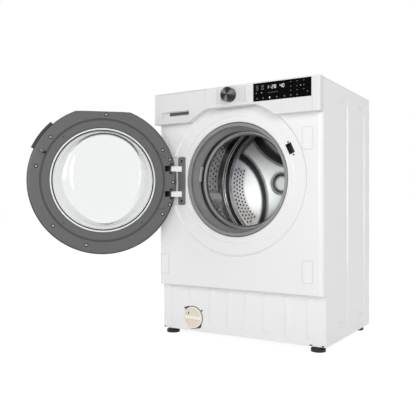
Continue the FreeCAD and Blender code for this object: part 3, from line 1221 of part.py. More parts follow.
def door_hinge_bracket():
    """Hinge casting on the front panel: a plate with two arms that end in pin eyes."""
    front = RECESS_Y - BRACKET_THICKNESS
    plate = plate_xz(rectangle(BRACKET_LEFT, BRACKET_RIGHT, BRACKET_BOTTOM, BRACKET_TOP, BRACKET_HOLE_INSET / 2),
                     front, RECESS_Y)
    for z in (BRACKET_BOTTOM + BRACKET_HOLE_INSET, BRACKET_TOP - BRACKET_HOLE_INSET):
        x = (BRACKET_LEFT + BRACKET_RIGHT) / 2
        plate = plate.cut(rod_y(BRACKET_HOLE_RADIUS, x, z, PANEL_Y, RECESS_Y + SHEET))
    bracket = plate
    bores = []
    eye = HINGE_EYE_RADIUS
    for z in HINGE_ARM_HEIGHTS:
        low = z - HINGE_ARM_HALF
        high = z + HINGE_ARM_HALF
        plan = [(HINGE_X - eye * 0.7, HINGE_Y + eye * 0.7), (HINGE_X + eye * 0.7, HINGE_Y - eye * 0.7),
                (BRACKET_LEFT + ARM_THICKNESS + eye, front), (BRACKET_LEFT + ARM_THICKNESS + eye, RECESS_Y),
                (BRACKET_LEFT, RECESS_Y), (BRACKET_LEFT, front)]
        bracket = bracket.fuse(plate_xy(plan, low, high)).fuse(rod_z(eye, HINGE_X, HINGE_Y, low, high))
        bores.append(rod_z(HINGE_PIN_RADIUS + HINGE_PIN_GAP, HINGE_X, HINGE_Y, low - 1, high + 1))
    return bracket.cut(Part.makeCompound(bores)).removeSplitter()


def latch_hook():
    """Sprung hook on the door with its cross pin, drawn at the latch angle."""
    y = FRONT + HOOK_PIN_SETBACK
    tip = FRONT + HOOK_REACH
    inner = LATCH_RADIUS - HOOK_WIDTH / 2
    outer = LATCH_RADIUS + HOOK_WIDTH / 2
    barb = tip - HOOK_BARB_LENGTH
    plan = [(inner, y - HOOK_WIDTH / 2), (outer, y - HOOK_WIDTH / 2), (outer, barb), (outer + HOOK_BARB, barb),
            (outer, tip), (inner, tip)]
    hook = plate_xy(plan, AXIS_HEIGHT - HOOK_HALF_THICKNESS, AXIS_HEIGHT + HOOK_HALF_THICKNESS)
    pin = rod_z(HOOK_PIN_RADIUS, LATCH_RADIUS, y, AXIS_HEIGHT - HOOK_PIN_HALF, AXIS_HEIGHT + HOOK_PIN_HALF)
    return spin(hook.fuse(pin).removeSplitter(), LATCH_ANGLE)


def door_lock():
    """Lock body behind the slot in the front panel."""
    front = RECESS_Y + SHEET
    body = latch_box(LOCK_BODY_RADIAL, LOCK_BODY_TANGENT, front, front + LOCK_BODY_DEPTH)
    return body.cut(latch_box(LOCK_SLOT_RADIAL, LOCK_SLOT_TANGENT, front - 1, front + LOCK_BODY_DEPTH - SHEET))


# Tub and what hangs on it

def door_gasket():
    """Rubber bellows from the mouth collar to the neck of the tub."""
    points = [(radius, FRONT + setback) for radius, setback in GASKET_PATH]
    half = GASKET_WALL / 2
    left = offset_points(points, -half, False)
    right = offset_points(points, half, False)
    return turned(left + right[::-1])


def tub_front():
    """Front half of the tub with its neck, heater well, damper bosses and fill spigot."""
    front = FRONT + TUB_FRONT_SETBACK
    seam = FRONT + TUB_SEAM_SETBACK
    neck_front = FRONT + TUB_NECK_FRONT
    neck_back = FRONT + TUB_NECK_BACK
    neck_outer = TUB_NECK_RADIUS + TUB_WALL
    inside = TUB_RADIUS - TUB_WALL
    profile = [(TUB_NECK_RADIUS, neck_front), (neck_outer, neck_front), (neck_outer, front), (TUB_RADIUS, front),
               (TUB_RADIUS, seam - TUB_FLANGE_WIDTH), (TUB_RADIUS + TUB_FLANGE, seam - TUB_FLANGE_WIDTH),
               (TUB_RADIUS + TUB_FLANGE, seam), (inside, seam), (inside, front + TUB_WALL), (neck_outer, front + TUB_WALL),
               (neck_outer, neck_back), (TUB_NECK_RADIUS, neck_back)]
    tub = turned(profile)
    core = rod_y(inside, 0, AXIS_HEIGHT, front + TUB_WALL, seam)
    low = AXIS_HEIGHT - TUB_RADIUS - WELL_DROP
    y0 = FRONT + WELL_FRONT_SETBACK
    y1 = FRONT + WELL_BACK_SETBACK
    high = AXIS_HEIGHT - TUB_RADIUS / 2
    well = block(-WELL_HALF, WELL_HALF, y0, y1, low, high).cut(core)
    stub_y = FRONT + SUMP_STUB_SETBACK
    stub = rod_z(SUMP_STUB_RADIUS, SUMP_STUB_X, stub_y, low - SUMP_STUB_LENGTH, low + WELL_WALL)
    tub = tub.fuse([well, stub])
    for side in (-1, 1):
        boss = rod_z(DAMPER_BOSS_RADIUS, side * DAMPER_X, FRONT + DAMPER_SETBACK, DAMPER_TOP, AXIS_HEIGHT - TUB_RADIUS / 2)
        tub = tub.fuse(boss.cut(core))
    spigot = rod_z(FILL_RADIUS, FILL_X, FRONT + FILL_SETBACK, AXIS_HEIGHT, FILL_SPIGOT_TOP).cut(core)
    tub = tub.fuse(spigot)
    tub = tub.cut(block(-WELL_HALF + WELL_WALL, WELL_HALF - WELL_WALL, y0 + WELL_WALL, y1 - WELL_WALL, low + WELL_WALL, high))
    bores = [rod_z(SUMP_STUB_RADIUS - WELL_WALL, SUMP_STUB_X, stub_y, low - SUMP_STUB_LENGTH - 1, low + 2 * WELL_WALL),
             rod_z(FILL_RADIUS - WELL_WALL, FILL_X, FRONT + FILL_SETBACK, AXIS_HEIGHT + TUB_RADIUS / 4, FILL_SPIGOT_TOP + 1)]
    for x in (-HEATER_HALF, HEATER_HALF):
        bores.append(rod_y(HEATER_ROD + HEATER_CLEARANCE, x, heater_height(), y0 - 1, y0 + 2 * WELL_WALL))
    return tub.cut(Part.makeCompound(bores)).removeSplitter()


def heater_height():
    """Height of the heating element inside its well."""
    return AXIS_HEIGHT - TUB_RADIUS - HEATER_DROP


def heater():
    """Bent heating element on its mounting plate."""
    y0 = FRONT + WELL_FRONT_SETBACK
    y1 = FRONT + WELL_BACK_SETBACK - 3 * WELL_WALL
    z = heater_height()
    path = bent_path([(-HEATER_HALF, y0 - HEATER_PLATE, z), (-HEATER_HALF, y1, z), (HEATER_HALF, y1, z),
                      (HEATER_HALF, y0 - HEATER_PLATE, z)], HEATER_HALF / 2)
    plate = block(-HEATER_HALF - 3 * HEATER_ROD, HEATER_HALF + 3 * HEATER_ROD, y0 - HEATER_PLATE, y0,
                  z - 3 * HEATER_ROD, z + 2 * HEATER_ROD)
    return plate.fuse(piped(path, HEATER_ROD)).removeSplitter()


def tub_rear():
    """Rear half of the tub with the bearing hub and the spring lugs."""
    seam = FRONT + TUB_SEAM_SETBACK
    back = FRONT + TUB_BACK_SETBACK
    inside = TUB_RADIUS - TUB_WALL
    profile = [(inside, seam), (TUB_RADIUS + TUB_FLANGE, seam), (TUB_RADIUS + TUB_FLANGE, seam + TUB_FLANGE_WIDTH),
               (TUB_RADIUS, seam + TUB_FLANGE_WIDTH), (TUB_RADIUS, back), (HUB_RADIUS, back),
               (HUB_RADIUS, FRONT + HUB_BACK_SETBACK), (BEARING_RADIUS, FRONT + HUB_BACK_SETBACK),
               (BEARING_RADIUS, FRONT + HUB_FRONT_SETBACK), (HUB_RADIUS, FRONT + HUB_FRONT_SETBACK),
               (HUB_RADIUS, back - TUB_WALL), (inside, back - TUB_WALL)]
    tub = turned(profile)
    core = rod_y(inside, 0, AXIS_HEIGHT, seam, back - TUB_WALL)
    y = FRONT + SPRING_SETBACK
    for side in (-1, 1):
        inner, outer = sorted((side * TUB_RADIUS / 2, side * (SPRING_X + SPRING_RADIUS)))
        lug = block(inner, outer, y - SPRING_LUG_HALF, y + SPRING_LUG_HALF, SPRING_LUG_TOP - SPRING_LUG_HEIGHT, SPRING_LUG_TOP)
        window = block(side * SPRING_X - SPRING_EYE_RADIUS, side * SPRING_X + SPRING_EYE_RADIUS, y - 2 * SPRING_LUG_HALF,
                       y + 2 * SPRING_LUG_HALF, SPRING_LUG_TOP - SPRING_LUG_HEIGHT, SPRING_LUG_TOP - HANGER_THICKNESS)
        tub = tub.fuse(lug.cut(core).cut(window))
        ends = block(side * SPRING_X - SPRING_EYE_RADIUS, side * SPRING_X + SPRING_EYE_RADIUS, y + HANGER_HALF,
                     y + 2 * SPRING_LUG_HALF, SPRING_LUG_TOP - SPRING_LUG_HEIGHT, SPRING_LUG_TOP + 1)
        tub = tub.cut(ends).cut(ends.mirror(at(0, y, 0), at(0, 1, 0)))
    return tub.removeSplitter()


def counterweight(start, sweep):
    """Cast weight bolted to the front of the tub."""
    back = FRONT + TUB_FRONT_SETBACK
    return turned([(WEIGHT_INNER, back - WEIGHT_THICKNESS, 4), (WEIGHT_OUTER, back - WEIGHT_THICKNESS, 4),
                   (WEIGHT_OUTER, back), (WEIGHT_INNER, back)], start=start, sweep=sweep)


def drum_bearings():
    """Two bearing rings in the hub of the tub."""
    first = FRONT + HUB_FRONT_SETBACK
    last = FRONT + HUB_BACK_SETBACK
    bore = SHAFT_RADIUS + BEARING_GAP
    rings = []
    for y in (first, last - BEARING_WIDTH):
        rings.append(turned([(bore, y), (BEARING_RADIUS, y), (BEARING_RADIUS, y + BEARING_WIDTH), (bore, y + BEARING_WIDTH)]))
    return Part.makeCompound(rings)


def motor():
    """Drive motor under the tub with two ears that seat against it."""
    y0 = FRONT + MOTOR_FRONT_SETBACK
    y1 = FRONT + MOTOR_BACK_SETBACK
    body = turned([(0, y0), (MOTOR_RADIUS - MOTOR_FIN, y0, 4), (MOTOR_RADIUS, y0 + 4 * MOTOR_FIN), (MOTOR_RADIUS, y1 - 4 * MOTOR_FIN),
                   (MOTOR_RADIUS - MOTOR_FIN, y1, 4), (0, y1)], MOTOR_X, MOTOR_Z)
    tub = rod_y(TUB_RADIUS, 0, AXIS_HEIGHT, FRONT, REAR)
    for y in (y0 + MOTOR_EAR_THICKNESS, FRONT + TUB_BACK_SETBACK - 2 * MOTOR_EAR_THICKNESS):
        ear = block(MOTOR_X - MOTOR_EAR_HALF, MOTOR_X + MOTOR_EAR_HALF, y, y + MOTOR_EAR_THICKNESS, MOTOR_Z, AXIS_HEIGHT - TUB_RADIUS / 1.2)
        body = body.fuse(ear.cut(tub))
    bore = rod_y(MOTOR_SHAFT_RADIUS + MOTOR_SHAFT_GAP, MOTOR_X, MOTOR_Z, y1 - MOTOR_SHAFT_DEPTH, y1 + 1)
    return body.cut(bore).removeSplitter()


def motor_pulley():
    """Motor shaft with its small belt pulley."""
    y1 = FRONT + MOTOR_BACK_SETBACK
    y = FRONT + PULLEY_SETBACK
    end = y + PULLEY_WIDTH
    lip = MOTOR_PULLEY_RADIUS + MOTOR_PULLEY_LIP
    side = (PULLEY_WIDTH - BELT_WIDTH) / 2 - BELT_GAP
    profile = [(0, y1 - MOTOR_SHAFT_DEPTH + MOTOR_FIN), (MOTOR_SHAFT_RADIUS, y1 - MOTOR_SHAFT_DEPTH + MOTOR_FIN), (MOTOR_SHAFT_RADIUS, y),
               (lip, y), (lip, y + side), (MOTOR_PULLEY_RADIUS, y + side), (MOTOR_PULLEY_RADIUS, end - side),
               (lip, end - side), (lip, end), (0, end)]
    return turned(profile, MOTOR_X, MOTOR_Z)


def belt_outline(grow, y):
    """Closed loop round both pulleys."""
    large = PULLEY_RADIUS + BELT_GAP + grow
    small = MOTOR_PULLEY_RADIUS + BELT_GAP + grow
    dx = MOTOR_X
    dz = MOTOR_Z - AXIS_HEIGHT
    span = math.hypot(dx, dz)
    heading = math.atan2(dz, dx)
    spread = math.acos((large - small) / span)

    def around(x, z, radius, angle):
        return at(x + radius * math.cos(angle), y, z + radius * math.sin(angle))

    a0 = around(0, AXIS_HEIGHT, large, heading + spread)
    a1 = around(0, AXIS_HEIGHT, large, heading + math.pi)
    a2 = around(0, AXIS_HEIGHT, large, heading - spread)
    b0 = around(MOTOR_X, MOTOR_Z, small, heading - spread)
    b1 = around(MOTOR_X, MOTOR_Z, small, heading)
    b2 = around(MOTOR_X, MOTOR_Z, small, heading + spread)
    return Part.Wire([Part.Arc(a0, a1, a2).toShape(), Part.LineSegment(a2, b0).toShape(),
                      Part.Arc(b0, b1, b2).toShape(), Part.LineSegment(b2, a0).toShape()])


def drive_belt():
    """Flat ribbed belt between the motor and the drum pulley."""
    y = FRONT + PULLEY_SETBACK + (PULLEY_WIDTH - BELT_WIDTH) / 2
    outer = Part.Face(belt_outline(BELT_THICKNESS, y)).extrude(at(0, BELT_WIDTH, 0))
    inner = Part.Face(belt_outline(0.0, y)).extrude(at(0, BELT_WIDTH, 0))
    return outer.cut(inner)


def suspension_springs():
    """Two sleeved suspension springs with an eye at each end."""
    low_eye = SPRING_LUG_TOP - HANGER_THICKNESS - SPRING_SEAT_GAP - SPRING_WIRE + SPRING_EYE_RADIUS
    high_eye = HANGER_Z + HANGER_THICKNESS + SPRING_SEAT_GAP + SPRING_WIRE - SPRING_EYE_RADIUS
    y = FRONT + SPRING_SETBACK
    springs = []
    for x in (-SPRING_X, SPRING_X):
        low = Part.makeTorus(SPRING_EYE_RADIUS, SPRING_WIRE, at(x, y, low_eye), at(1, 0, 0))
        high = Part.makeTorus(SPRING_EYE_RADIUS, SPRING_WIRE, at(x, y, high_eye), at(1, 0, 0))
        sleeve = rod_z(SPRING_RADIUS, x, y, low_eye + SPRING_EYE_RADIUS, high_eye - SPRING_EYE_RADIUS)
        springs.append(sleeve.fuse([low, high]))
    return Part.makeCompound(springs)


def damper_cylinders():
    """Two damper tubes under the tub."""
    tubes = []
    y = FRONT + DAMPER_SETBACK
    for x in (-DAMPER_X, DAMPER_X):
        tube = rod_z(DAMPER_RADIUS, x, y, DAMPER_BOTTOM, DAMPER_TOP)
        tubes.append(tube.cut(rod_z(DAMPER_ROD_RADIUS + DAMPER_ROD_GAP, x, y, DAMPER_BOTTOM - 1, DAMPER_BORE_TOP)))
    return Part.makeCompound(tubes)


def damper_rods():
    """Two damper rods standing in the base pan."""
    y = FRONT + DAMPER_SETBACK
    return Part.makeCompound([rod_z(DAMPER_ROD_RADIUS, x, y, FLOOR_TOP, DAMPER_ROD_TOP) for x in (-DAMPER_X, DAMPER_X)])


# Drum

def drum_shell():
    """Rolled wall of the drum."""
    inside = DRUM_RADIUS - DRUM_SKIN
    y0 = FRONT + DRUM_SHOULDER_SETBACK
    y1 = FRONT + DRUM_BACK_SETBACK
    return turned([(inside, y0), (DRUM_RADIUS, y0), (DRUM_RADIUS, y1), (inside, y1)])


def drum_front():
    """Coned front ring of the drum with its rolled throat."""
    y = FRONT + DRUM_FRONT_SETBACK
    shoulder = FRONT + DRUM_SHOULDER_SETBACK
    bend = 3 * DRUM_SKIN
    run = [(DRUM_MOUTH_RADIUS, y + DRUM_THROAT), (DRUM_MOUTH_RADIUS, y + bend), (DRUM_MOUTH_RADIUS + bend, y),
           (DRUM_MOUTH_RADIUS + 3 * bend, y), (DRUM_RADIUS - bend, shoulder - bend), (DRUM_RADIUS, shoulder)]
    inner = offset_points(run, DRUM_SKIN, False)
    inner[-1] = (DRUM_RADIUS - DRUM_SKIN, shoulder)
    return turned(run + inner[::-1])


def star_form(y, shrink):
    """Three-armed ridge that stands forward from the plane y, thinned all round by a shrink."""
    rim = STAR_REACH - shrink
    ridge = Part.makeCone(rim, rim - STAR_RIM_DRAFT, STAR_PROUD, at(0, y, AXIS_HEIGHT), at(0, -1, 0))
    # The pockets touch the hub and leave the waist of an arm between two neighbours.
    sin = math.sin(math.pi / len(STAR_ANGLES))
    away = (STAR_WAIST / 2 - STAR_HUB_RADIUS) / (sin - 1)
    crest = away - STAR_HUB_RADIUS + shrink
    pockets = []
    for angle in LIFTER_ANGLES:
        turn = math.radians(angle)
        centre = at(away * math.cos(turn), y, AXIS_HEIGHT + away * math.sin(turn))
        pockets.append(Part.makeCone(crest - STAR_DRAFT, crest, STAR_PROUD, centre, at(0, -1, 0)))
    # The hub is dished back from the crest.
    dish = Part.makeCone(STAR_DISH_FLOOR + shrink, STAR_DISH_RADIUS + shrink, STAR_DISH_DEPTH,
                         at(0, y - STAR_PROUD + STAR_DISH_DEPTH, AXIS_HEIGHT), at(0, -1, 0))
    return ridge.cut(Part.makeCompound(pockets + [dish]))


def drum_back():
    """Back disc of the drum with its pressed star and three fields of drain holes."""
    y = FRONT + DRUM_BACK_SETBACK
    disc = rod_y(DRUM_RADIUS, 0, AXIS_HEIGHT, y, y + DRUM_SKIN)
    back = disc.fuse(star_form(y, 0.0)).cut(star_form(y + DRUM_SKIN, DRUM_SKIN))
    holes = []
    for centre in LIFTER_ANGLES:
        for row, radius in enumerate(HOLE_ROWS):
            count = HOLE_STEPS - row % 2
            for step in range(count):
                turn = math.radians(centre + (step - (count - 1) / 2) * HOLE_STEP_ANGLE)
                x = radius * math.cos(turn)
                z = AXIS_HEIGHT + radius * math.sin(turn)
                holes.append(rod_y(HOLE_RADIUS, x, z, y - 1, y + 2 * DRUM_SKIN))
    return back.cut(Part.makeCompound(holes)).removeSplitter()


def drum_lifters():
    """Three paddles on the drum wall."""
    wall = DRUM_RADIUS - DRUM_SKIN - LIFTER_SEAT_GAP
    crest = wall - LIFTER_HEIGHT
    y0 = FRONT + LIFTER_FRONT_SETBACK
    y1 = FRONT + LIFTER_BACK_SETBACK
    section = [(DRUM_RADIUS, AXIS_HEIGHT - LIFTER_BASE / 2), (DRUM_RADIUS, AXIS_HEIGHT + LIFTER_BASE / 2),
               (crest, AXIS_HEIGHT + LIFTER_CREST / 2, LIFTER_CREST / 3), (crest, AXIS_HEIGHT - LIFTER_CREST / 2, LIFTER_CREST / 3)]
    side = [(DRUM_RADIUS, y0), (DRUM_RADIUS, y1), (crest, y1 - LIFTER_END_SLOPE, 10), (crest, y0 + LIFTER_END_SLOPE, 10)]
    ridge = plate_xz(section, y0, y1)
    taper = Part.Face(closed_wire(side, lambda u, v: at(u, v, AXIS_HEIGHT - LIFTER_BASE))).extrude(at(0, 0, 2 * LIFTER_BASE))
    paddle = ridge.common(taper).common(rod_y(wall, 0, AXIS_HEIGHT, y0, y1))
    return Part.makeCompound([spin(paddle, angle) for angle in LIFTER_ANGLES])


def drum_spider():
    """Three-armed casting that joins the drum to its shaft."""
    y0 = FRONT + DRUM_BACK_SETBACK + DRUM_SKIN
    y1 = y0 + SPIDER_DEPTH
    arm = plate_xz([(0, AXIS_HEIGHT - SPIDER_ARM_ROOT / 2), (SPIDER_REACH, AXIS_HEIGHT - SPIDER_ARM_TIP / 2, 8),
                    (SPIDER_REACH, AXIS_HEIGHT + SPIDER_ARM_TIP / 2, 8), (0, AXIS_HEIGHT + SPIDER_ARM_ROOT / 2)], y0, y1)
    spider = rod_y(SPIDER_HUB_RADIUS, 0, AXIS_HEIGHT, y0, y1)
    for angle in STAR_ANGLES:
        spider = spider.fuse(spin(arm, angle))
    return spider.cut(rod_y(SHAFT_RADIUS, 0, AXIS_HEIGHT, y0 - 1, y1 + 1)).removeSplitter()


def drum_shaft():
    """Drum shaft, stepped down for the pulley."""
    y0 = FRONT + DRUM_BACK_SETBACK + DRUM_SKIN
    step = FRONT + PULLEY_SETBACK
    end = step + PULLEY_WIDTH + SHAFT_END
    return turned([(0, y0), (SHAFT_RADIUS, y0), (SHAFT_RADIUS, step), (SHAFT_SEAT_RADIUS, step), (SHAFT_SEAT_RADIUS, end), (0, end)])


def drum_pulley():
    """Spoked belt pulley on the drum shaft."""
    y = FRONT + PULLEY_SETBACK
    end = y + PULLEY_WIDTH
    inner = PULLEY_RADIUS - PULLEY_RIM
    rim = turned([(inner, y), (PULLEY_RADIUS, y), (PULLEY_RADIUS, end), (inner, end)])
    hub = rod_y(PULLEY_HUB_RADIUS, 0, AXIS_HEIGHT, y, end)
    middle = (y + end) / 2
    spoke = block(0, inner + 1, middle - PULLEY_SPOKE_THICKNESS / 2, middle + PULLEY_SPOKE_THICKNESS / 2,
                  AXIS_HEIGHT - PULLEY_SPOKE_WIDTH / 2, AXIS_HEIGHT + PULLEY_SPOKE_WIDTH / 2)
    wheel = rim.fuse(hub)
    for index in range(PULLEY_SPOKES):
        wheel = wheel.fuse(spin(spoke, index * 360.0 / PULLEY_SPOKES))
    return wheel.cut(rod_y(SHAFT_SEAT_RADIUS, 0, AXIS_HEIGHT, y - 1, end + 1)).removeSplitter()


# Water path

def filter_housing():
    """Filter chamber on the base pan with a stub for the sump hose."""
    y0 = PLINTH_Y + SHEET
    y1 = y0 + FILTER_LENGTH
    bore = CAP_PLUG_RADIUS + CAP_PLUG_GAP
    outer = bore + FILTER_WALL
    body = rod_y(outer, FILTER_X, FILTER_Z, y0, y1)
    flange = rod_y(FILTER_FLANGE_RADIUS, FILTER_X, FILTER_Z, y0, y0 + FILTER_FLANGE)
    flange = flange.cut(block(-WIDTH, WIDTH, FRONT, REAR, 0, FLOOR_TOP))
    saddle = block(FILTER_X - FILTER_SADDLE_HALF, FILTER_X + FILTER_SADDLE_HALF, y1 - 2 * FILTER_SADDLE_LENGTH, y1 - FILTER_SADDLE_LENGTH, FLOOR_TOP, FILTER_Z)
    stub_y = FRONT + SUMP_STUB_SETBACK
    stub_end = FILTER_X + outer + FILTER_STUB_LENGTH
    stub = rod(SUMP_STUB_RADIUS, at(FILTER_X, stub_y, FILTER_Z), at(stub_end, stub_y, FILTER_Z))
    body = body.fuse([flange, saddle, stub])
    hollow = rod_y(bore, FILTER_X, FILTER_Z, y0 - 1, y1 - FILTER_WALL)
    throat = rod(SUMP_STUB_RADIUS - WELL_WALL, at(FILTER_X, stub_y, FILTER_Z), at(stub_end + 1, stub_y, FILTER_Z))
    return body.cut(hollow).cut(throat).removeSplitter()


def filter_cap():
    """Screw cap of the drain filter: a dished face with a grip bar across it and a coin slot."""
    face = PLINTH_Y - CAP_PROUD
    back = face + CAP_THICKNESS
    floor = face + CAP_DISH
    dish = CAP_RADIUS - CAP_RIM
    profile = [(0, floor), (dish, floor), (dish, face), (CAP_RADIUS, face, 1.5), (CAP_RADIUS, back), (CAP_PLUG_RADIUS, back),
               (CAP_PLUG_RADIUS, back + CAP_PLUG_LENGTH), (CAP_PLUG_RADIUS - FILTER_WALL, back + CAP_PLUG_LENGTH),
               (CAP_PLUG_RADIUS - FILTER_WALL, back), (0, back)]
    cap = turned(profile, FILTER_X, FILTER_Z)
    reach = dish + CAP_RIM / 2
    bar = block(FILTER_X - reach, FILTER_X + reach, face + CAP_BAR_DROP, back, FILTER_Z - CAP_BAR_HALF, FILTER_Z + CAP_BAR_HALF)
    slot = block(CAP_SLOT_OFFSET - CAP_SLOT_HALF_WIDTH, CAP_SLOT_OFFSET + CAP_SLOT_HALF_WIDTH, face, back + 1,
                 -CAP_SLOT_HALF_LENGTH, CAP_SLOT_HALF_LENGTH)
    slot.rotate(at(0, 0, 0), at(0, -1, 0), CAP_SLOT_ANGLE)
    slot.translate(at(FILTER_X, 0, FILTER_Z))
    return cap.fuse(bar).cut(slot).removeSplitter()


def drain_pump():
    """Drain pump behind the filter chamber with its outlet port."""
    y0 = PLINTH_Y + SHEET + FILTER_LENGTH
    y1 = y0 + PUMP_LENGTH
    body = rod_y(PUMP_RADIUS, FILTER_X, FILTER_Z, y0, y1)
    saddle = block(FILTER_X - FILTER_SADDLE_HALF, FILTER_X + FILTER_SADDLE_HALF, y1 - FILTER_SADDLE_LENGTH, y1, FLOOR_TOP, FILTER_Z)
    x = FILTER_X + PUMP_PORT_OFFSET
    volute = block(x - PUMP_PORT_RADIUS - 2, FILTER_X, y1 - FILTER_SADDLE_LENGTH, y1, FILTER_Z - PUMP_PORT_RADIUS - 2, FILTER_Z + PUMP_PORT_RADIUS + 2)
    port = rod_y(PUMP_PORT_RADIUS, x, FILTER_Z, y1, y1 + PUMP_PORT_LENGTH)
    return body.fuse([saddle, volute, port]).removeSplitter()


def hose_between(path, stub_radius):
    """Hose pushed over round stubs at both ends of a path."""
    inner = stub_radius + HOSE_SEAT_GAP
    return piped(path, inner + HOSE_WALL).cut(piped(path, inner))


def sump_hose():
    """Hose from the heater well down to the filter chamber."""
    start = AXIS_HEIGHT - TUB_RADIUS - WELL_DROP - SUMP_STUB_LENGTH + HOSE_LAP
    y = FRONT + SUMP_STUB_SETBACK
    end = FILTER_X + CAP_PLUG_RADIUS + CAP_PLUG_GAP + FILTER_WALL + FILTER_STUB_LENGTH - HOSE_LAP
    path = bent_path([(SUMP_STUB_X, y, start), (SUMP_STUB_X, y, FILTER_Z), (end, y, FILTER_Z)], SUMP_HOSE_BEND)
    return hose_between(path, SUMP_STUB_RADIUS)


def fill_hose():
    """Short hose from the dispenser spout to the tub."""
    y = FRONT + FILL_SETBACK
    path = bent_path([(FILL_X, y, FILL_SPIGOT_TOP - HOSE_LAP), (FILL_X, y, FILL_SPOUT_BOTTOM + HOSE_LAP)], FILL_RADIUS)
    return hose_between(path, FILL_RADIUS)


def inlet_hose():
    """Hose from the inlet valve forward to the dispenser."""
    y0 = DRAWER_BACK_Y + TRAY_LENGTH + TRAY_RUNNING_GAP + DISPENSER_WALL + INLET_STUB_LENGTH - HOSE_LAP
    y1 = REAR - SHEET - VALVE_LENGTH - INLET_STUB_LENGTH + HOSE_LAP
    path = bent_path([(INLET_X, y0, INLET_Z), (INLET_X, y1, INLET_Z)], FILL_RADIUS)
    return hose_between(path, INLET_STUB_RADIUS)


def inlet_valve():
    """Inlet valve inside the rear sheet with its threaded hose union outside."""
    y = REAR - SHEET
    body = block(INLET_X - VALVE_HALF, INLET_X + VALVE_HALF, y - VALVE_LENGTH, y, INLET_Z - VALVE_HALF, INLET_Z + VALVE_HALF)
    stub = rod_y(INLET_STUB_RADIUS, INLET_X, INLET_Z, y - VALVE_LENGTH - INLET_STUB_LENGTH, y - VALVE_LENGTH)
    thread = rod_y(VALVE_THREAD_RADIUS, INLET_X, INLET_Z, y, REAR + VALVE_THREAD_LENGTH)
    collar = rod_y(VALVE_COLLAR_RADIUS, INLET_X, INLET_Z, REAR, REAR + VALVE_COLLAR)
    bore = rod_y(INLET_STUB_RADIUS, INLET_X, INLET_Z, REAR + VALVE_COLLAR, REAR + VALVE_THREAD_LENGTH + 1)
    return body.fuse([stub, thread, collar]).cut(bore).removeSplitter()


def drain_hose():
    """Hose from the pump back to the rear outlet."""
    x = FILTER_X + PUMP_PORT_OFFSET
    y0 = PLINTH_Y + SHEET + FILTER_LENGTH + PUMP_LENGTH + PUMP_PORT_LENGTH - HOSE_LAP
    y1 = REAR - SHEET - OUTLET_COLLAR - PUMP_PORT_LENGTH + HOSE_LAP
    return hose_between(bent_path([(x, y0, FILTER_Z), (x, y1, FILTER_Z)], PUMP_PORT_RADIUS), PUMP_PORT_RADIUS)


def drain_outlet():
    """Outlet spigot through the rear sheet."""
    x = FILTER_X + PUMP_PORT_OFFSET
    y = REAR - SHEET
    stub = rod_y(PUMP_PORT_RADIUS, x, FILTER_Z, y - OUTLET_COLLAR - PUMP_PORT_LENGTH, y)
    collar = rod_y(OUTLET_COLLAR_RADIUS, x, FILTER_Z, y - OUTLET_COLLAR, y)
    spigot = rod_y(OUTLET_RADIUS, x, FILTER_Z, y, REAR + OUTLET_LENGTH)
    rim = rod_y(OUTLET_COLLAR_RADIUS, x, FILTER_Z, REAR, REAR + OUTLET_RIM)
    bore = rod_y(PUMP_PORT_RADIUS - DISPENSER_WALL, x, FILTER_Z, FRONT, REAR + OUTLET_LENGTH + 1)
    return stub.fuse([collar, spigot, rim]).cut(bore).removeSplitter()


def cord_gland():
    """Strain-relief bush for the mains cord."""
    profile = [(GLAND_BORE, REAR - SHEET), (GLAND_RADIUS, REAR - SHEET), (GLAND_RADIUS, REAR), (GLAND_COLLAR_RADIUS, REAR),
               (GLAND_COLLAR_RADIUS, REAR + TRANSIT_CAP), (GLAND_RADIUS, REAR + GLAND_LENGTH), (GLAND_BORE, REAR + GLAND_LENGTH)]
    return turned(profile, GLAND_X, GLAND_Z)


def transit_bolt_caps():
    """Four plugs in the transit-bolt holes."""
    caps = []
    for x in (-TRANSIT_X, TRANSIT_X):
        for z in TRANSIT_HEIGHTS:
            caps.append(turned([(0, REAR - TRANSIT_PLUG), (TRANSIT_RADIUS, REAR - TRANSIT_PLUG), (TRANSIT_RADIUS, REAR),
                                (TRANSIT_CAP_RADIUS, REAR), (TRANSIT_CAP_RADIUS, REAR + TRANSIT_CAP / 2), (TRANSIT_CAP_RADIUS - TRANSIT_CAP / 2, REAR + TRANSIT_CAP), (0, REAR + TRANSIT_CAP)], x, z))
    return Part.makeCompound(caps)


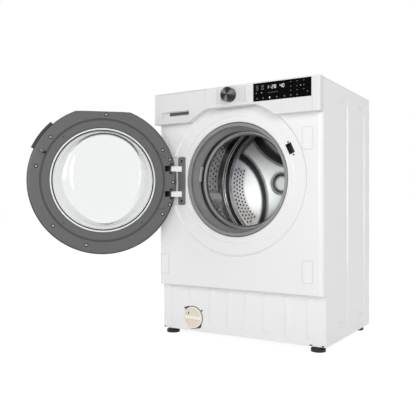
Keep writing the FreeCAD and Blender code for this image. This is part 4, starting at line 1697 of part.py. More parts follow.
def pieces():
    """Every piece by node name."""
    right = side_panel()
    made = {
        "side_panel_right": right,
        "side_panel_left": mirrored(right),
        "rear_panel": rear_panel(),
        "rear_access_cover": rear_access_cover(),
        "top_panel": top_panel(),
        "base_pan": base_pan(),
        "front_panel": front_panel(),
        "plinth_panel": plinth_panel(),
        "fascia": fascia(),
        "display_window": display_window(),
        "control_board": control_board(),
        "programme_knob": programme_knob(),
        "hinge_blanking_covers": hinge_blanking_covers(),
        "drawer_front": drawer_front(),
        "drawer_tray": drawer_tray(),
        "softener_siphon": softener_siphon(),
        "dispenser_housing": dispenser_housing(),
        "door_outer_frame": opened(door_outer_frame()),
        "door_inner_frame": opened(door_inner_frame()),
        "door_glass": opened(door_glass()),
        "door_window": opened(door_window()),
        "door_hinge_pins": opened(door_hinge_pins()),
        "latch_hook": opened(latch_hook()),
        "door_hinge_bracket": door_hinge_bracket(),
        "door_lock": door_lock(),
        "door_gasket": door_gasket(),
        "tub_front": tub_front(),
        "tub_rear": tub_rear(),
        "heater": heater(),
        "counterweight_upper": counterweight(WEIGHT_UPPER_START, WEIGHT_UPPER_SWEEP),
        "counterweight_lower": counterweight(WEIGHT_LOWER_START, WEIGHT_LOWER_SWEEP),
        "drum_bearings": drum_bearings(),
        "motor": motor(),
        "motor_pulley": motor_pulley(),
        "drive_belt": drive_belt(),
        "suspension_springs": suspension_springs(),
        "damper_cylinders": damper_cylinders(),
        "damper_rods": damper_rods(),
        "drum_shell": drum_shell(),
        "drum_front": drum_front(),
        "drum_back": drum_back(),
        "drum_lifters": drum_lifters(),
        "drum_spider": drum_spider(),
        "drum_shaft": drum_shaft(),
        "drum_pulley": drum_pulley(),
        "filter_housing": filter_housing(),
        "filter_cap": filter_cap(),
        "drain_pump": drain_pump(),
        "sump_hose": sump_hose(),
        "fill_hose": fill_hose(),
        "inlet_hose": inlet_hose(),
        "inlet_valve": inlet_valve(),
        "drain_hose": drain_hose(),
        "drain_outlet": drain_outlet(),
        "cord_gland": cord_gland(),
        "transit_bolt_caps": transit_bolt_caps(),
        "foot_front_left": foot(-FOOT_X, -FOOT_Y),
        "foot_front_right": foot(FOOT_X, -FOOT_Y),
        "foot_rear_left": foot(-FOOT_X, FOOT_Y),
        "foot_rear_right": foot(FOOT_X, FOOT_Y),
    }
    return made


os.makedirs("parts", exist_ok=True)
for node, shape in pieces().items():
    shape.exportStep("parts/" + node + ".step")
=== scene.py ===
"""Dresses a built-in front-loading washing machine that stands with its porthole door open."""

from __future__ import annotations

import json
import logging
import math
from collections.abc import Callable, Iterable, Sequence
from dataclasses import dataclass
from enum import Enum

import bmesh
import bpy
from mathutils import Matrix, Vector

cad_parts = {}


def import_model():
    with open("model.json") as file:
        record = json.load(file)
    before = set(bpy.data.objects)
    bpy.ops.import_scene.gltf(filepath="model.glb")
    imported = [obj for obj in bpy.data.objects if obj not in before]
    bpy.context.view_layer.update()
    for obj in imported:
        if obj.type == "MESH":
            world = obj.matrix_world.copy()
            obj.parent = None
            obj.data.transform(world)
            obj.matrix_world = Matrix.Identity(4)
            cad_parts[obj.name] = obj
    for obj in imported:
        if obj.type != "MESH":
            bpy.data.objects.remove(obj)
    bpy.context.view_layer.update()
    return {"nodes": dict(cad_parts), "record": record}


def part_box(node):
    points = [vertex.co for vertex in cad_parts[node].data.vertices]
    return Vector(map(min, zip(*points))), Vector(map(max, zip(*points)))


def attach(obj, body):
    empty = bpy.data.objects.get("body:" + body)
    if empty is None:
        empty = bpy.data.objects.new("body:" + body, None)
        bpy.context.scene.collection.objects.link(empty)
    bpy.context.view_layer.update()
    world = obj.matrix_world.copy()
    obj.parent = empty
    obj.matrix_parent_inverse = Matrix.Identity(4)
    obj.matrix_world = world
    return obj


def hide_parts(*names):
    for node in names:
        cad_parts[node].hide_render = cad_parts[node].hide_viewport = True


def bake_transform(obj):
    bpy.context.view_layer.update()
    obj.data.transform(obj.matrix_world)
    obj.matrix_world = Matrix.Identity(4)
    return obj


LOG = logging.getLogger("washing_machine")

Colour = tuple[float, float, float]
Point = tuple[float, float, float]
Outline = Sequence[tuple[float, float]]

# Shared places, in millimetres. A setback is a distance behind the front of the fascia.
MM = 0.001
FRONT_Y = -257.5
DEPTH = 492.0
AXIS_Z = 524.0
KNOB_Z = 790.0
HINGE_X = -231.0
HINGE_SETBACK = 12.0
DOOR_SWING = -137.0
FULL_TURN = 2 * math.pi

# Radius in metres to which the edges of thin metal are rounded.
FINE_EDGE = 0.0004

# Steps in the full turn of a ring, and degrees of bend past which an edge stays crisp.
TURN_STEPS = 96
CRISP = 35.0


class Body(Enum):
    """The bodies that new pieces ride on."""

    CABINET = "cabinet"
    TUB = "tub"
    DRUM = "drum"
    DOOR = "door"
    DRAWER = "drawer"


class Grain(Enum):
    """How a metal surface was worked, with the depth in metres of the marks that leaves."""

    ROLLED = 0.00002
    SPUN = 0.00001
    CAST = 0.00012


def srgb(red: int, green: int, blue: int) -> Colour:
    """Turn screen levels into the light values that shaders use.

    Args:
        red, green, blue: Levels from 0 to 255.

    Returns:
        The same colour as linear values.
    """
    levels = [level / 255 for level in (red, green, blue)]
    linear = [v / 12.92 if v <= 0.04045 else ((v + 0.055) / 1.055) ** 2.4 for v in levels]
    return linear[0], linear[1], linear[2]


def grey(level: int) -> Colour:
    """Return a neutral screen level as linear values."""
    return srgb(level, level, level)


def darker(colour: Colour, share: float) -> Colour:
    """Return a colour scaled to a share of its brightness."""
    return colour[0] * share, colour[1] * share, colour[2] * share


def from_front(x: float, setback: float, z: float) -> Matrix:
    """Place a shape drawn in plan so that it faces the front.

    Args:
        x, z: Position across and up the machine, in millimetres.
        setback: Distance behind the front of the fascia.

    Returns:
        The matrix from plan millimetres to the shared frame in metres.
    """
    spot = Matrix.Translation((x, FRONT_Y + setback, z))
    return Matrix.Scale(MM, 4) @ spot @ Matrix.Rotation(math.pi / 2, 4, "X")


def from_back(x: float, setback: float, z: float) -> Matrix:
    """Place a shape drawn in plan so that it faces the rear; x still runs across the machine."""
    return from_front(x, setback, z) @ Matrix.Rotation(math.pi, 4, "Y")


def swung() -> Matrix:
    """Work out the swing of the door from shut to its open rest.

    Returns:
        The matrix of the swing, in metres.
    """
    hinge = Vector((HINGE_X, FRONT_Y + HINGE_SETBACK, 0.0)) * MM
    turn = Matrix.Rotation(math.radians(DOOR_SWING), 4, "Z")
    return Matrix.Translation(hinge) @ turn @ Matrix.Translation(-hinge)


class Link:
    """A colour, vector or shader on its way through a node tree."""

    def __init__(self, shader: Shader, socket: bpy.types.NodeSocket) -> None:
        """Keep the shader and the output socket."""
        self.shader = shader
        self.socket = socket


def sums(operation: str, swapped: bool = False) -> Callable[[Number, Term], Number]:
    """Return a method that adds one Math node for two terms.

    Args:
        operation: What the node does.
        swapped: Whether the method's own number comes second.

    Returns:
        The method.
    """
    def method(self: Number, other: Term) -> Number:
        """Add the Math node."""
        first, second = (other, self) if swapped else (self, other)
        return self.shader.number("Math", {"operation": operation}, {0: first, 1: second})

    return method


class Number(Link):
    """A number on its way through a node tree, so that sums are written as sums."""

    __add__ = sums("ADD")
    __radd__ = sums("ADD", True)
    __sub__ = sums("SUBTRACT")
    __rsub__ = sums("SUBTRACT", True)
    __mul__ = sums("MULTIPLY")
    __rmul__ = sums("MULTIPLY", True)
    power = sums("POWER")
    highest = sums("MAXIMUM")
    heading = sums("ARCTAN2")

    def wave(self) -> Number:
        """Return the sine of self, brought between 0 and 1."""
        return self.shader.number("Math", {"operation": "SINE"}, {0: self}) * 0.5 + 0.5


Term = Number | float


class Shader:
    """One node tree under construction."""

    def __init__(self, owner: bpy.types.Material | bpy.types.World) -> None:
        """Start an empty tree.

        Args:
            owner: The material or world that holds it.
        """
        owner.use_nodes = True
        self.tree = owner.node_tree
        self.tree.nodes.clear()

    def node(self, kind: str, settings: dict | None = None, inputs: dict | None = None) -> bpy.types.Node:
        """Add a node.

        Args:
            kind: The node's type, without the prefix that all have.
            settings: Properties, set first.
            inputs: Values or links by socket name or number.

        Returns:
            The new node.
        """
        made = self.tree.nodes.new("ShaderNode" + kind)
        for key, value in (settings or {}).items():
            setattr(made, key, value)
        for key, value in (inputs or {}).items():
            if isinstance(value, Link):
                self.tree.links.new(value.socket, made.inputs[key])
            elif made.inputs[key].type == "RGBA":
                made.inputs[key].default_value = (*value, 1.0)
            else:
                made.inputs[key].default_value = value
        return made

    def number(self, kind: str, settings: dict | None, inputs: dict, output: str | int = 0) -> Number:
        """Add a node and return one of its outputs as a number."""
        return Number(self, self.node(kind, settings, inputs).outputs[output])

    def link(self, kind: str, settings: dict | None, inputs: dict, output: str | int = 0) -> Link:
        """Add a node and return one of its outputs as a colour, vector or shader."""
        return Link(self, self.node(kind, settings, inputs).outputs[output])

    def place(self, centre: Point = (0.0, 0.0, 0.0), size: Point = (1.0, 1.0, 1.0)) -> Link:
        """Read object coordinates.

        Args:
            centre: Where they start, in metres.
            size: What they are divided by along each axis.

        Returns:
            The coordinates.
        """
        spot = self.link("TexCoord", None, {}, "Object")
        return self.link("Mapping", {"vector_type": "TEXTURE"},
                         {"Vector": spot, "Location": centre, "Scale": size})

    def parts(self, vector: Link) -> list[Number]:
        """Split a vector into its three numbers."""
        return [Number(self, socket) for socket in self.node("SeparateXYZ", None, {0: vector}).outputs]

    def behind(self, setback: float) -> Number:
        """Return how far a point lies behind a setback, in metres."""
        return self.parts(self.place((0.0, (FRONT_Y + setback) * MM, 0.0)))[1]

    def noise(self, place: Link, scale: float, detail: float = 2.0, roughness: float = 0.5) -> Number:
        """Return soft noise with features about 1 / scale metres across."""
        return self.number("TexNoise", None,
                           {"Vector": place, "Scale": scale, "Detail": detail, "Roughness": roughness})

    def worked(self, grain: Grain) -> Number:
        """Draw the marks that a way of working metal leaves.

        Args:
            grain: How the metal was worked.

        Returns:
            The pattern.
        """
        if grain is Grain.CAST:
            return self.noise(self.place(), 600.0, 3.0, 0.65)
        if grain is Grain.SPUN:
            return self.noise(self.place((0.0, 0.0, AXIS_Z * MM), (1.0, 0.004, 1.0)), 9.0, 3.0, 0.6)
        return self.noise(self.place(size=(1.0, 1.0, 0.03)), 700.0)

    def mix(self, share: Number, first: Colour | Link, second: Colour | Link) -> Link:
        """Mix two colours."""
        return self.link("Mix", {"data_type": "RGBA"}, {0: share, 6: first, 7: second}, 2)

    def rounded(self, radius: float) -> Link:
        """Return a normal that rounds sharp edges by a radius in metres."""
        return self.link("Bevel", {"samples": 4}, {"Radius": radius})

    def bump(self, height: Number, depth: float, edge: float = 0.0) -> Link:
        """Raise a pattern in the normal.

        Args:
            height: The pattern.
            depth: Its relief in metres.
            edge: Radius in metres to which sharp edges are rounded.

        Returns:
            The new normal.
        """
        inputs = {"Height": height, "Distance": depth, "Strength": 1.0}
        if edge:
            inputs["Normal"] = self.rounded(edge)
        return self.link("Bump", None, inputs)

    def surface(self, inputs: dict, volume: Link | None = None) -> None:
        """Close the material with a Principled surface.

        Args:
            inputs: Values or links of the surface's sockets.
            volume: What fills it, for glass.
        """
        ends = {"Surface": self.link("BsdfPrincipled", None, inputs)}
        if volume is not None:
            ends["Volume"] = volume
        self.node("OutputMaterial", None, ends)


@dataclass(frozen=True)
class Finish:
    """A finish with its tint."""

    tint: Colour

    def compose(self, shader: Shader) -> None:
        """Build the finish in a shader."""
        raise NotImplementedError

    def shaded(self, shader: Shader, pattern: Number, share: float) -> Link:
        """Return the tint, darkened to a share of itself where a pattern is low."""
        return shader.mix(pattern, darker(self.tint, share), self.tint)

    def material(self, name: str) -> bpy.types.Material:
        """Make the finish into a material, once for each name.

        Args:
            name: Name of the material.

        Returns:
            The material.
        """
        if name not in bpy.data.materials:
            self.compose(Shader(bpy.data.materials.new(name)))
        return bpy.data.materials[name]


@dataclass(frozen=True)
class Enamel(Finish):
    """Baked enamel on pressed sheet, with a slight orange peel and rounded edges."""

    roughness: float = 0.30
    peel: float = 0.00003
    edge: float = 0.0012

    def compose(self, shader: Shader) -> None:
        """Build the enamel.

        Args:
            shader: The tree to build it in.
        """
        place = shader.place()
        wiped = shader.noise(shader.place(size=(1.0, 1.0, 0.2)), 45.0, 4.0)
        shader.surface({
            "Base Color": self.shaded(shader, shader.noise(place, 2.5), 0.975),
            "Roughness": self.roughness - 0.05 + 0.10 * wiped,
            "Coat Weight": 0.6,
            "Coat Roughness": 0.12,
            "Normal": shader.bump(shader.noise(place, 330.0), self.peel, self.edge),
        })


@dataclass(frozen=True)
class Moulded(Finish):
    """Injection-moulded plastic with a fine eroded texture and slightly polished edges."""

    roughness: float = 0.42
    relief: float = 0.00005
    edge: float = 0.0006
    coat: float = 0.0

    def compose(self, shader: Shader) -> None:
        """Build the plastic.

        Args:
            shader: The tree to build it in.
        """
        place = shader.place()
        rubbed = shader.noise(place, 70.0, 3.0)
        shader.surface({
            "Base Color": self.shaded(shader, shader.noise(place, 6.0), 0.96),
            "Roughness": self.roughness - 0.06 + 0.12 * rubbed,
            "Coat Weight": self.coat,
            "Coat Roughness": 0.1,
            "Normal": shader.bump(shader.noise(place, 1400.0, 1.0), self.relief, self.edge),
        })


@dataclass(frozen=True)
class DishedCap(Finish):
    """Cream moulding whose recessed dish is painted a darker, mottled cream than its rim and grip bar:
    painted shade.
    """

    dish_shade: Colour = (0.80, 0.735, 0.62)
    setback: float = 52.0
    dish: float = 0.004

    def compose(self, shader: Shader) -> None:
        """Build the cap.

        Args:
            shader: The tree to build it in.
        """
        place = shader.place((0.0, (FRONT_Y + self.setback) * MM, 0.0))
        # Depth into the dish: below the rim the colour turns to the darker cream, painted shade.
        depth = shader.parts(place)[1] * (1.0 / self.dish)
        cloud = shader.noise(place, 40.0, 3.0)
        shaded_dish = shader.mix(cloud, darker(self.dish_shade, 0.94), self.dish_shade)
        shader.surface({
            "Base Color": shader.mix((depth - 0.45) * 4.0, self.tint, shaded_dish),
            "Roughness": 0.34 + 0.12 * cloud,
            "Normal": shader.bump(shader.noise(place, 1400.0, 1.0), 0.00004, 0.0008),
        })


@dataclass(frozen=True)
class Rubber(Finish):
    """Moulded rubber with a powdery bloom."""

    roughness: float = 0.55
    bloom: float = 0.12

    def compose(self, shader: Shader) -> None:
        """Build the rubber.

        Args:
            shader: The tree to build it in.
        """
        place = shader.place()
        bloom = shader.noise(place, 28.0, 5.0, 0.6)
        bare, dusty = darker(self.tint, 1 - self.bloom), darker(self.tint, 1 + self.bloom)
        shader.surface({
            "Base Color": shader.mix(bloom, bare, dusty),
            "Roughness": self.roughness - 0.08 + 0.16 * bloom,
            "Specular IOR Level": 0.4,
            "Normal": shader.bump(shader.noise(place, 900.0), 0.00004),
        })


@dataclass(frozen=True)
class Metal(Finish):
    """Bare metal, rolled, spun about the drum axis, or cast."""

    grain: Grain = Grain.ROLLED
    roughness: float = 0.22
    metallic: float = 1.0

    def compose(self, shader: Shader) -> None:
        """Build the metal.

        Args:
            shader: The tree to build it in.
        """
        cloud = shader.noise(shader.place(), 9.0, 3.0)
        lines = shader.worked(self.grain)
        shader.surface({
            "Base Color": self.shaded(shader, lines, 0.86),
            "Metallic": self.metallic,
            "Roughness": self.roughness - 0.06 + 0.08 * cloud + 0.06 * lines,
            "Normal": shader.bump(lines, self.grain.value, FINE_EDGE),
        })


@dataclass(frozen=True)
class HingeCasting(Finish):
    """Zinc casting whose plate is painted darker, as painted shade, and whose arms are painted brighter, as
    painted highlight.
    """

    # Colour of the arms: painted highlight.
    arm: Colour = (0.86, 0.86, 0.86)
    plate_setback: float = 32.8
    sharpness: float = 4000.0

    def compose(self, shader: Shader) -> None:
        """Build the casting.

        Args:
            shader: The tree to build it in.
        """
        lines = shader.worked(Grain.CAST)
        # What stands proud of the plate takes the arms' painted highlight; the plate keeps the darker tint,
        # painted shade.
        proud = shader.behind(self.plate_setback) * -self.sharpness
        shader.surface({
            "Base Color": shader.mix(proud, self.shaded(shader, lines, 0.86), self.arm),
            "Metallic": 0.4,
            "Roughness": 0.36 + 0.06 * lines,
            "Normal": shader.bump(lines, Grain.CAST.value, 0.0006),
        })


@dataclass(frozen=True)
class PressedSteel(Finish):
    """Satin sheet whose polished drawn flanks are painted near black against its flats: painted shade and
    reflection.
    """

    # Near-black colour of the flanks: painted shade and reflection.
    flank_painted_shade: Colour = (0.05, 0.05, 0.052)
    draw_radius: float = 0.013

    def compose(self, shader: Shader) -> None:
        """Build the pressed sheet.

        Args:
            shader: The tree to build it in.
        """
        # Where the rounded normal turns away from the front, the colour goes to the flanks' painted shade and
        # reflection.
        facing = shader.parts(shader.rounded(self.draw_radius))[1]
        flat = (facing * facing - 0.72) * 4.2
        lines = shader.worked(Grain.SPUN)
        shader.surface({
            "Base Color": shader.mix(flat, self.flank_painted_shade, self.shaded(shader, lines, 0.86)),
            "Metallic": 0.45,
            "Roughness": 0.16 + 0.14 * flat + 0.05 * lines,
            "Normal": shader.bump(lines, Grain.SPUN.value, FINE_EDGE),
        })


@dataclass(frozen=True)
class BandedSteel(Finish):
    """Spun drum wall: satin where it is pierced, polished in the plain band near the back, and painted near
    black there as painted shade and reflection.
    """

    band_painted_shade: Colour = (0.06, 0.06, 0.063)
    band_setback: float = 320.0
    sharpness: float = 400.0

    def compose(self, shader: Shader) -> None:
        """Build the drum wall.

        Args:
            shader: The tree to build it in.
        """
        # Behind the setback of the band the colour is painted near black: painted shade and reflection.
        plain = shader.behind(self.band_setback) * self.sharpness
        lines = shader.worked(Grain.SPUN)
        shader.surface({
            "Base Color": shader.mix(plain, self.shaded(shader, lines, 0.84), self.band_painted_shade),
            "Metallic": 0.85,
            "Roughness": 0.20 + 0.08 * lines,
            "Normal": shader.bump(lines, Grain.SPUN.value, FINE_EDGE),
        })


@dataclass(frozen=True)
class Galvanised(Finish):
    """Zinc-coated sheet with its flaky spangle."""

    roughness: float = 0.38
    flakes: float = 130.0

    def compose(self, shader: Shader) -> None:
        """Build the coated sheet.

        Args:
            shader: The tree to build it in.
        """
        cells = shader.link("TexVoronoi", None, {"Vector": shader.place(), "Scale": self.flakes}, "Color")
        flake = shader.parts(cells)[0]
        streak = shader.noise(shader.place(size=(1.0, 1.0, 0.1)), 40.0, 3.0)
        shader.surface({
            "Base Color": self.shaded(shader, flake, 0.84),
            "Metallic": 0.85,
            "Roughness": self.roughness - 0.05 + 0.10 * flake + 0.06 * streak,
            "Normal": shader.bump(streak, 0.00002, 0.0008),
        })


@dataclass(frozen=True)
class KnobMetal(Finish):
    """Dark metal spun about the knob's own axis, with fans of painted highlight round it, where turned metal
    catches the light.
    """

    highlight_fans: int = 3
    highlight_start: float = 0.7
    rings: float = 9000.0

    def compose(self, shader: Shader) -> None:
        """Build the spun metal.

        Args:
            shader: The tree to build it in.
        """
        across, _, up = shader.parts(shader.place((0.0, 0.0, KNOB_Z * MM)))
        # Fans of painted highlight: the tint stays bright in them and darkens between them.
        fan_highlight = (self.highlight_fans * up.heading(across) + self.highlight_start).wave()
        ring = ((across * across + up * up).power(0.5) * self.rings).wave()
        shader.surface({
            "Base Color": self.shaded(shader, fan_highlight.power(2.4), 0.12),
            "Metallic": 0.9,
            "Roughness": 0.30 + 0.08 * ring,
            "Normal": shader.bump(ring, 0.00002, 0.0008),
        })


@dataclass(frozen=True)
class Glazing(Finish):
    """Clear pressed glass with faint wipe marks, greyer where it is looked at edge on."""

    roughness: float = 0.01
    density: float = 13.0
    depth_tint: Colour = (0.34, 0.35, 0.36)

    def compose(self, shader: Shader) -> None:
        """Build the glass.

        Args:
            shader: The tree to build it in.
        """
        wiped = shader.noise(shader.place(size=(1.0, 1.0, 0.3)), 14.0, 4.0)
        depth = shader.link("VolumeAbsorption", None, {"Color": self.depth_tint, "Density": self.density})
        shader.surface({
            "Base Color": self.shaded(shader, wiped, 0.99),
            "Roughness": self.roughness + 0.02 * wiped.power(3.0),
            "IOR": 1.5,
            "Transmission Weight": 1.0,
        }, depth)


@dataclass(frozen=True)
class DarkGlass(Finish):
    """Black display glass with faint finger marks."""

    def compose(self, shader: Shader) -> None:
        """Build the display glass.

        Args:
            shader: The tree to build it in.
        """
        place = shader.place()
        finger = shader.noise(place, 55.0, 4.0, 0.6)
        cloud = shader.noise(place, 12.0)
        shader.surface({
            "Base Color": self.shaded(shader, cloud, 0.6),
            "Roughness": 0.10 + 0.10 * finger.power(2.0),
            "Specular IOR Level": 0.05,
            "Normal": shader.bump(cloud, 0.00001, 0.0005),
        })


@dataclass(frozen=True)
class Glow(Finish):
    """Lit display marks, a little brighter at the middle of each lamp."""

    level: float = 0.8

    def compose(self, shader: Shader) -> None:
        """Build the lit marks.

        Args:
            shader: The tree to build it in.
        """
        spots = shader.noise(shader.place(), 260.0, 1.0)
        shader.surface({
            "Base Color": darker(self.tint, 0.4),
            "Roughness": 0.4,
            "Emission Color": self.shaded(shader, spots, 0.75),
            "Emission Strength": self.level,
        })


@dataclass(frozen=True)
class Ink(Finish):
    """Printed ink, slightly patchy."""

    def compose(self, shader: Shader) -> None:
        """Build the ink.

        Args:
            shader: The tree to build it in.
        """
        patch = shader.noise(shader.place(), 500.0)
        shader.surface({
            "Base Color": self.shaded(shader, patch, 0.88),
            "Roughness": 0.45 + 0.15 * patch,
        })


@dataclass(frozen=True)
class Concrete(Finish):
    """Cast ballast with sand grains and small pores."""

    pores: float = 160.0

    def compose(self, shader: Shader) -> None:
        """Build the ballast.

        Args:
            shader: The tree to build it in.
        """
        place = shader.place()
        sand = shader.noise(place, 420.0, 4.0, 0.7)
        pores = shader.number("TexVoronoi", None, {"Vector": place, "Scale": self.pores}, "Distance")
        shader.surface({
            "Base Color": self.shaded(shader, sand, 0.72),
            "Roughness": 0.80 + 0.12 * sand,
            "Normal": shader.bump(sand + (pores * 3.0).power(0.5), 0.0004, 0.002),
        })


@dataclass(frozen=True)
class Laminate(Finish):
    """Circuit board with its lacquer and tracks."""

    track: Colour = (0.16, 0.36, 0.14)
    pitch: float = 60.0

    def compose(self, shader: Shader) -> None:
        """Build the board.

        Args:
            shader: The tree to build it in.
        """
        place = shader.place()
        tracks = shader.number("TexBrick", None, {"Vector": place, "Scale": self.pitch}, "Fac")
        shader.surface({
            "Base Color": shader.mix(tracks, self.tint, self.track),
            "Roughness": 0.32 + 0.12 * shader.noise(place, 800.0),
            "Normal": shader.bump(tracks, 0.00003),
        })


# One finish for each material slot of the record.
FINISHES: dict[str, Finish] = {
    "white_enamel": Enamel(grey(238)),
    "white_moulding": Moulded(grey(228), 0.36, 0.00002, 0.0012, 0.2),
    "galvanised": Galvanised((0.52, 0.53, 0.54)),
    "base_plastic": Moulded(grey(58)),
    "display_black": DarkGlass(grey(3)),
    "board_green": Laminate((0.012, 0.10, 0.035)),
    "knob_metal": KnobMetal(grey(128)),
    "tray_white": Moulded(grey(230), 0.34, 0.00002),
    "siphon_blue": Moulded(srgb(66, 118, 190), 0.30, 0.00002),
    "door_dark": Moulded(grey(46), 0.42, 0.00002, 0.0012),
    "door_grey": Moulded(grey(94), 0.40, 0.00004),
    "clear_glass": Glazing((0.975, 0.99, 0.985)),
    "clear_window": Glazing((0.98, 0.985, 0.985)),
    "pin_steel": Metal(grey(104), Grain.ROLLED, 0.34),
    "zinc_cast": Metal(grey(206), Grain.CAST, 0.34, 0.5),
    "lock_black": Moulded(grey(22), 0.45),
    "gasket_grey": Rubber(grey(140)),
    "tub_plastic": Moulded(grey(120), 0.5),
    "weight_grey": Concrete(grey(128)),
    "heater_steel": Metal(grey(150), Grain.ROLLED, 0.30),
    "bearing_steel": Metal(grey(180), Grain.SPUN, 0.18),
    "motor_alloy": Metal(grey(150), Grain.CAST, 0.42),
    "belt_black": Rubber(grey(26), 0.6),
    "spring_sleeve": Moulded(grey(40), 0.5),
    "damper_black": Moulded(grey(34), 0.42),
    "drum_stainless": Metal((0.64, 0.645, 0.65), Grain.SPUN, 0.24, 0.85),
    "lifter_plastic": Moulded(grey(226), 0.34, 0.00002),
    "spider_alloy": Metal(grey(170), Grain.CAST, 0.40),
    "pulley_alloy": Metal(grey(178), Grain.CAST, 0.36),
    "pump_grey": Moulded(grey(52), 0.46),
    "cap_cream": DishedCap(srgb(246, 242, 232)),
    "hose_grey": Rubber(grey(96), 0.5),
    "valve_white": Moulded(grey(222), 0.36, 0.00002),
    "foot_black": Moulded(grey(6), 0.6, 0.00008),
    "cap_white": Moulded(grey(238), 0.34, 0.00002),
}

# Nodes whose surface differs from the rest of their slot.
NODE_FINISHES: dict[str, Finish] = {
    "door_hinge_bracket": HingeCasting(grey(130)),
    # The back is the drum's steel painted lighter, as painted light, with flanks of painted shade.
    "drum_back": PressedSteel((0.88, 0.885, 0.89)),
    # The front is the drum's steel painted darker, as painted shade.
    "drum_front": Metal((0.34, 0.342, 0.345), Grain.SPUN, 0.36),
    # The rear of the tub is near black so that the drum's holes look dark: painted shade.
    "tub_rear": Moulded(grey(18), 0.5),
    "hinge_blanking_covers": Moulded(grey(240), 0.34, 0.00002, 0.0014, 0.2),
    "door_lock": Moulded(grey(52), 0.45),
}

# Finishes of the small pieces that are made here.
PRINT = Ink(grey(132))
# Dark ink of the legend numbers, also laid in the drawer's finger slot as painted shade.
DARK_PRINT_AND_SLOT_SHADE = Ink(grey(96))
# Pale grey for the lines of painted shade round the covers of the hinge pads.
PAINTED_GAP_SHADE = Ink(grey(222))
LIT = Glow((0.93, 0.96, 1.0), 0.9)
DIM = Glow((0.62, 0.66, 0.72), 0.09)
BRIGHT_STEEL = Metal(grey(205), Grain.ROLLED, 0.20)
# Dark steel of the screws, also laid as rings of painted shade in the gaps of the drum's seam.
BLACKED_STEEL_AND_PAINTED_SHADE = Metal(grey(52), Grain.CAST, 0.38)
# Dark grey for lines and patches of painted shade on the door's inner ring and in the plinth's slots.
PAINTED_SHADE_DARK = Rubber(grey(24), 0.48)
# Pitch black for the glass lip, and for painted shade round the ring's screws, in the hinge pockets and along
# the inner ring's edge.
PITCH_BLACK = Rubber(grey(5), 0.7)
CLEAR_BEAD = Moulded(grey(244), 0.22, 0.00001, 0.0004, 0.5)
PALE_PLASTIC = Moulded(grey(188), 0.4)
# Dark grey for the ring of painted shade in the groove of the door's inner ring.
GROOVE_PAINTED_SHADE = Moulded(grey(72), 0.5)
DRUM_WALL = BandedSteel((0.50, 0.505, 0.51))
DRUM_SEAM = Metal((0.66, 0.665, 0.67), Grain.SPUN, 0.26, 0.7)


def only(geom: Iterable, kind: type) -> list:
    """Return the items of one kind among the results of an operator."""
    return [item for item in geom if isinstance(item, kind)]


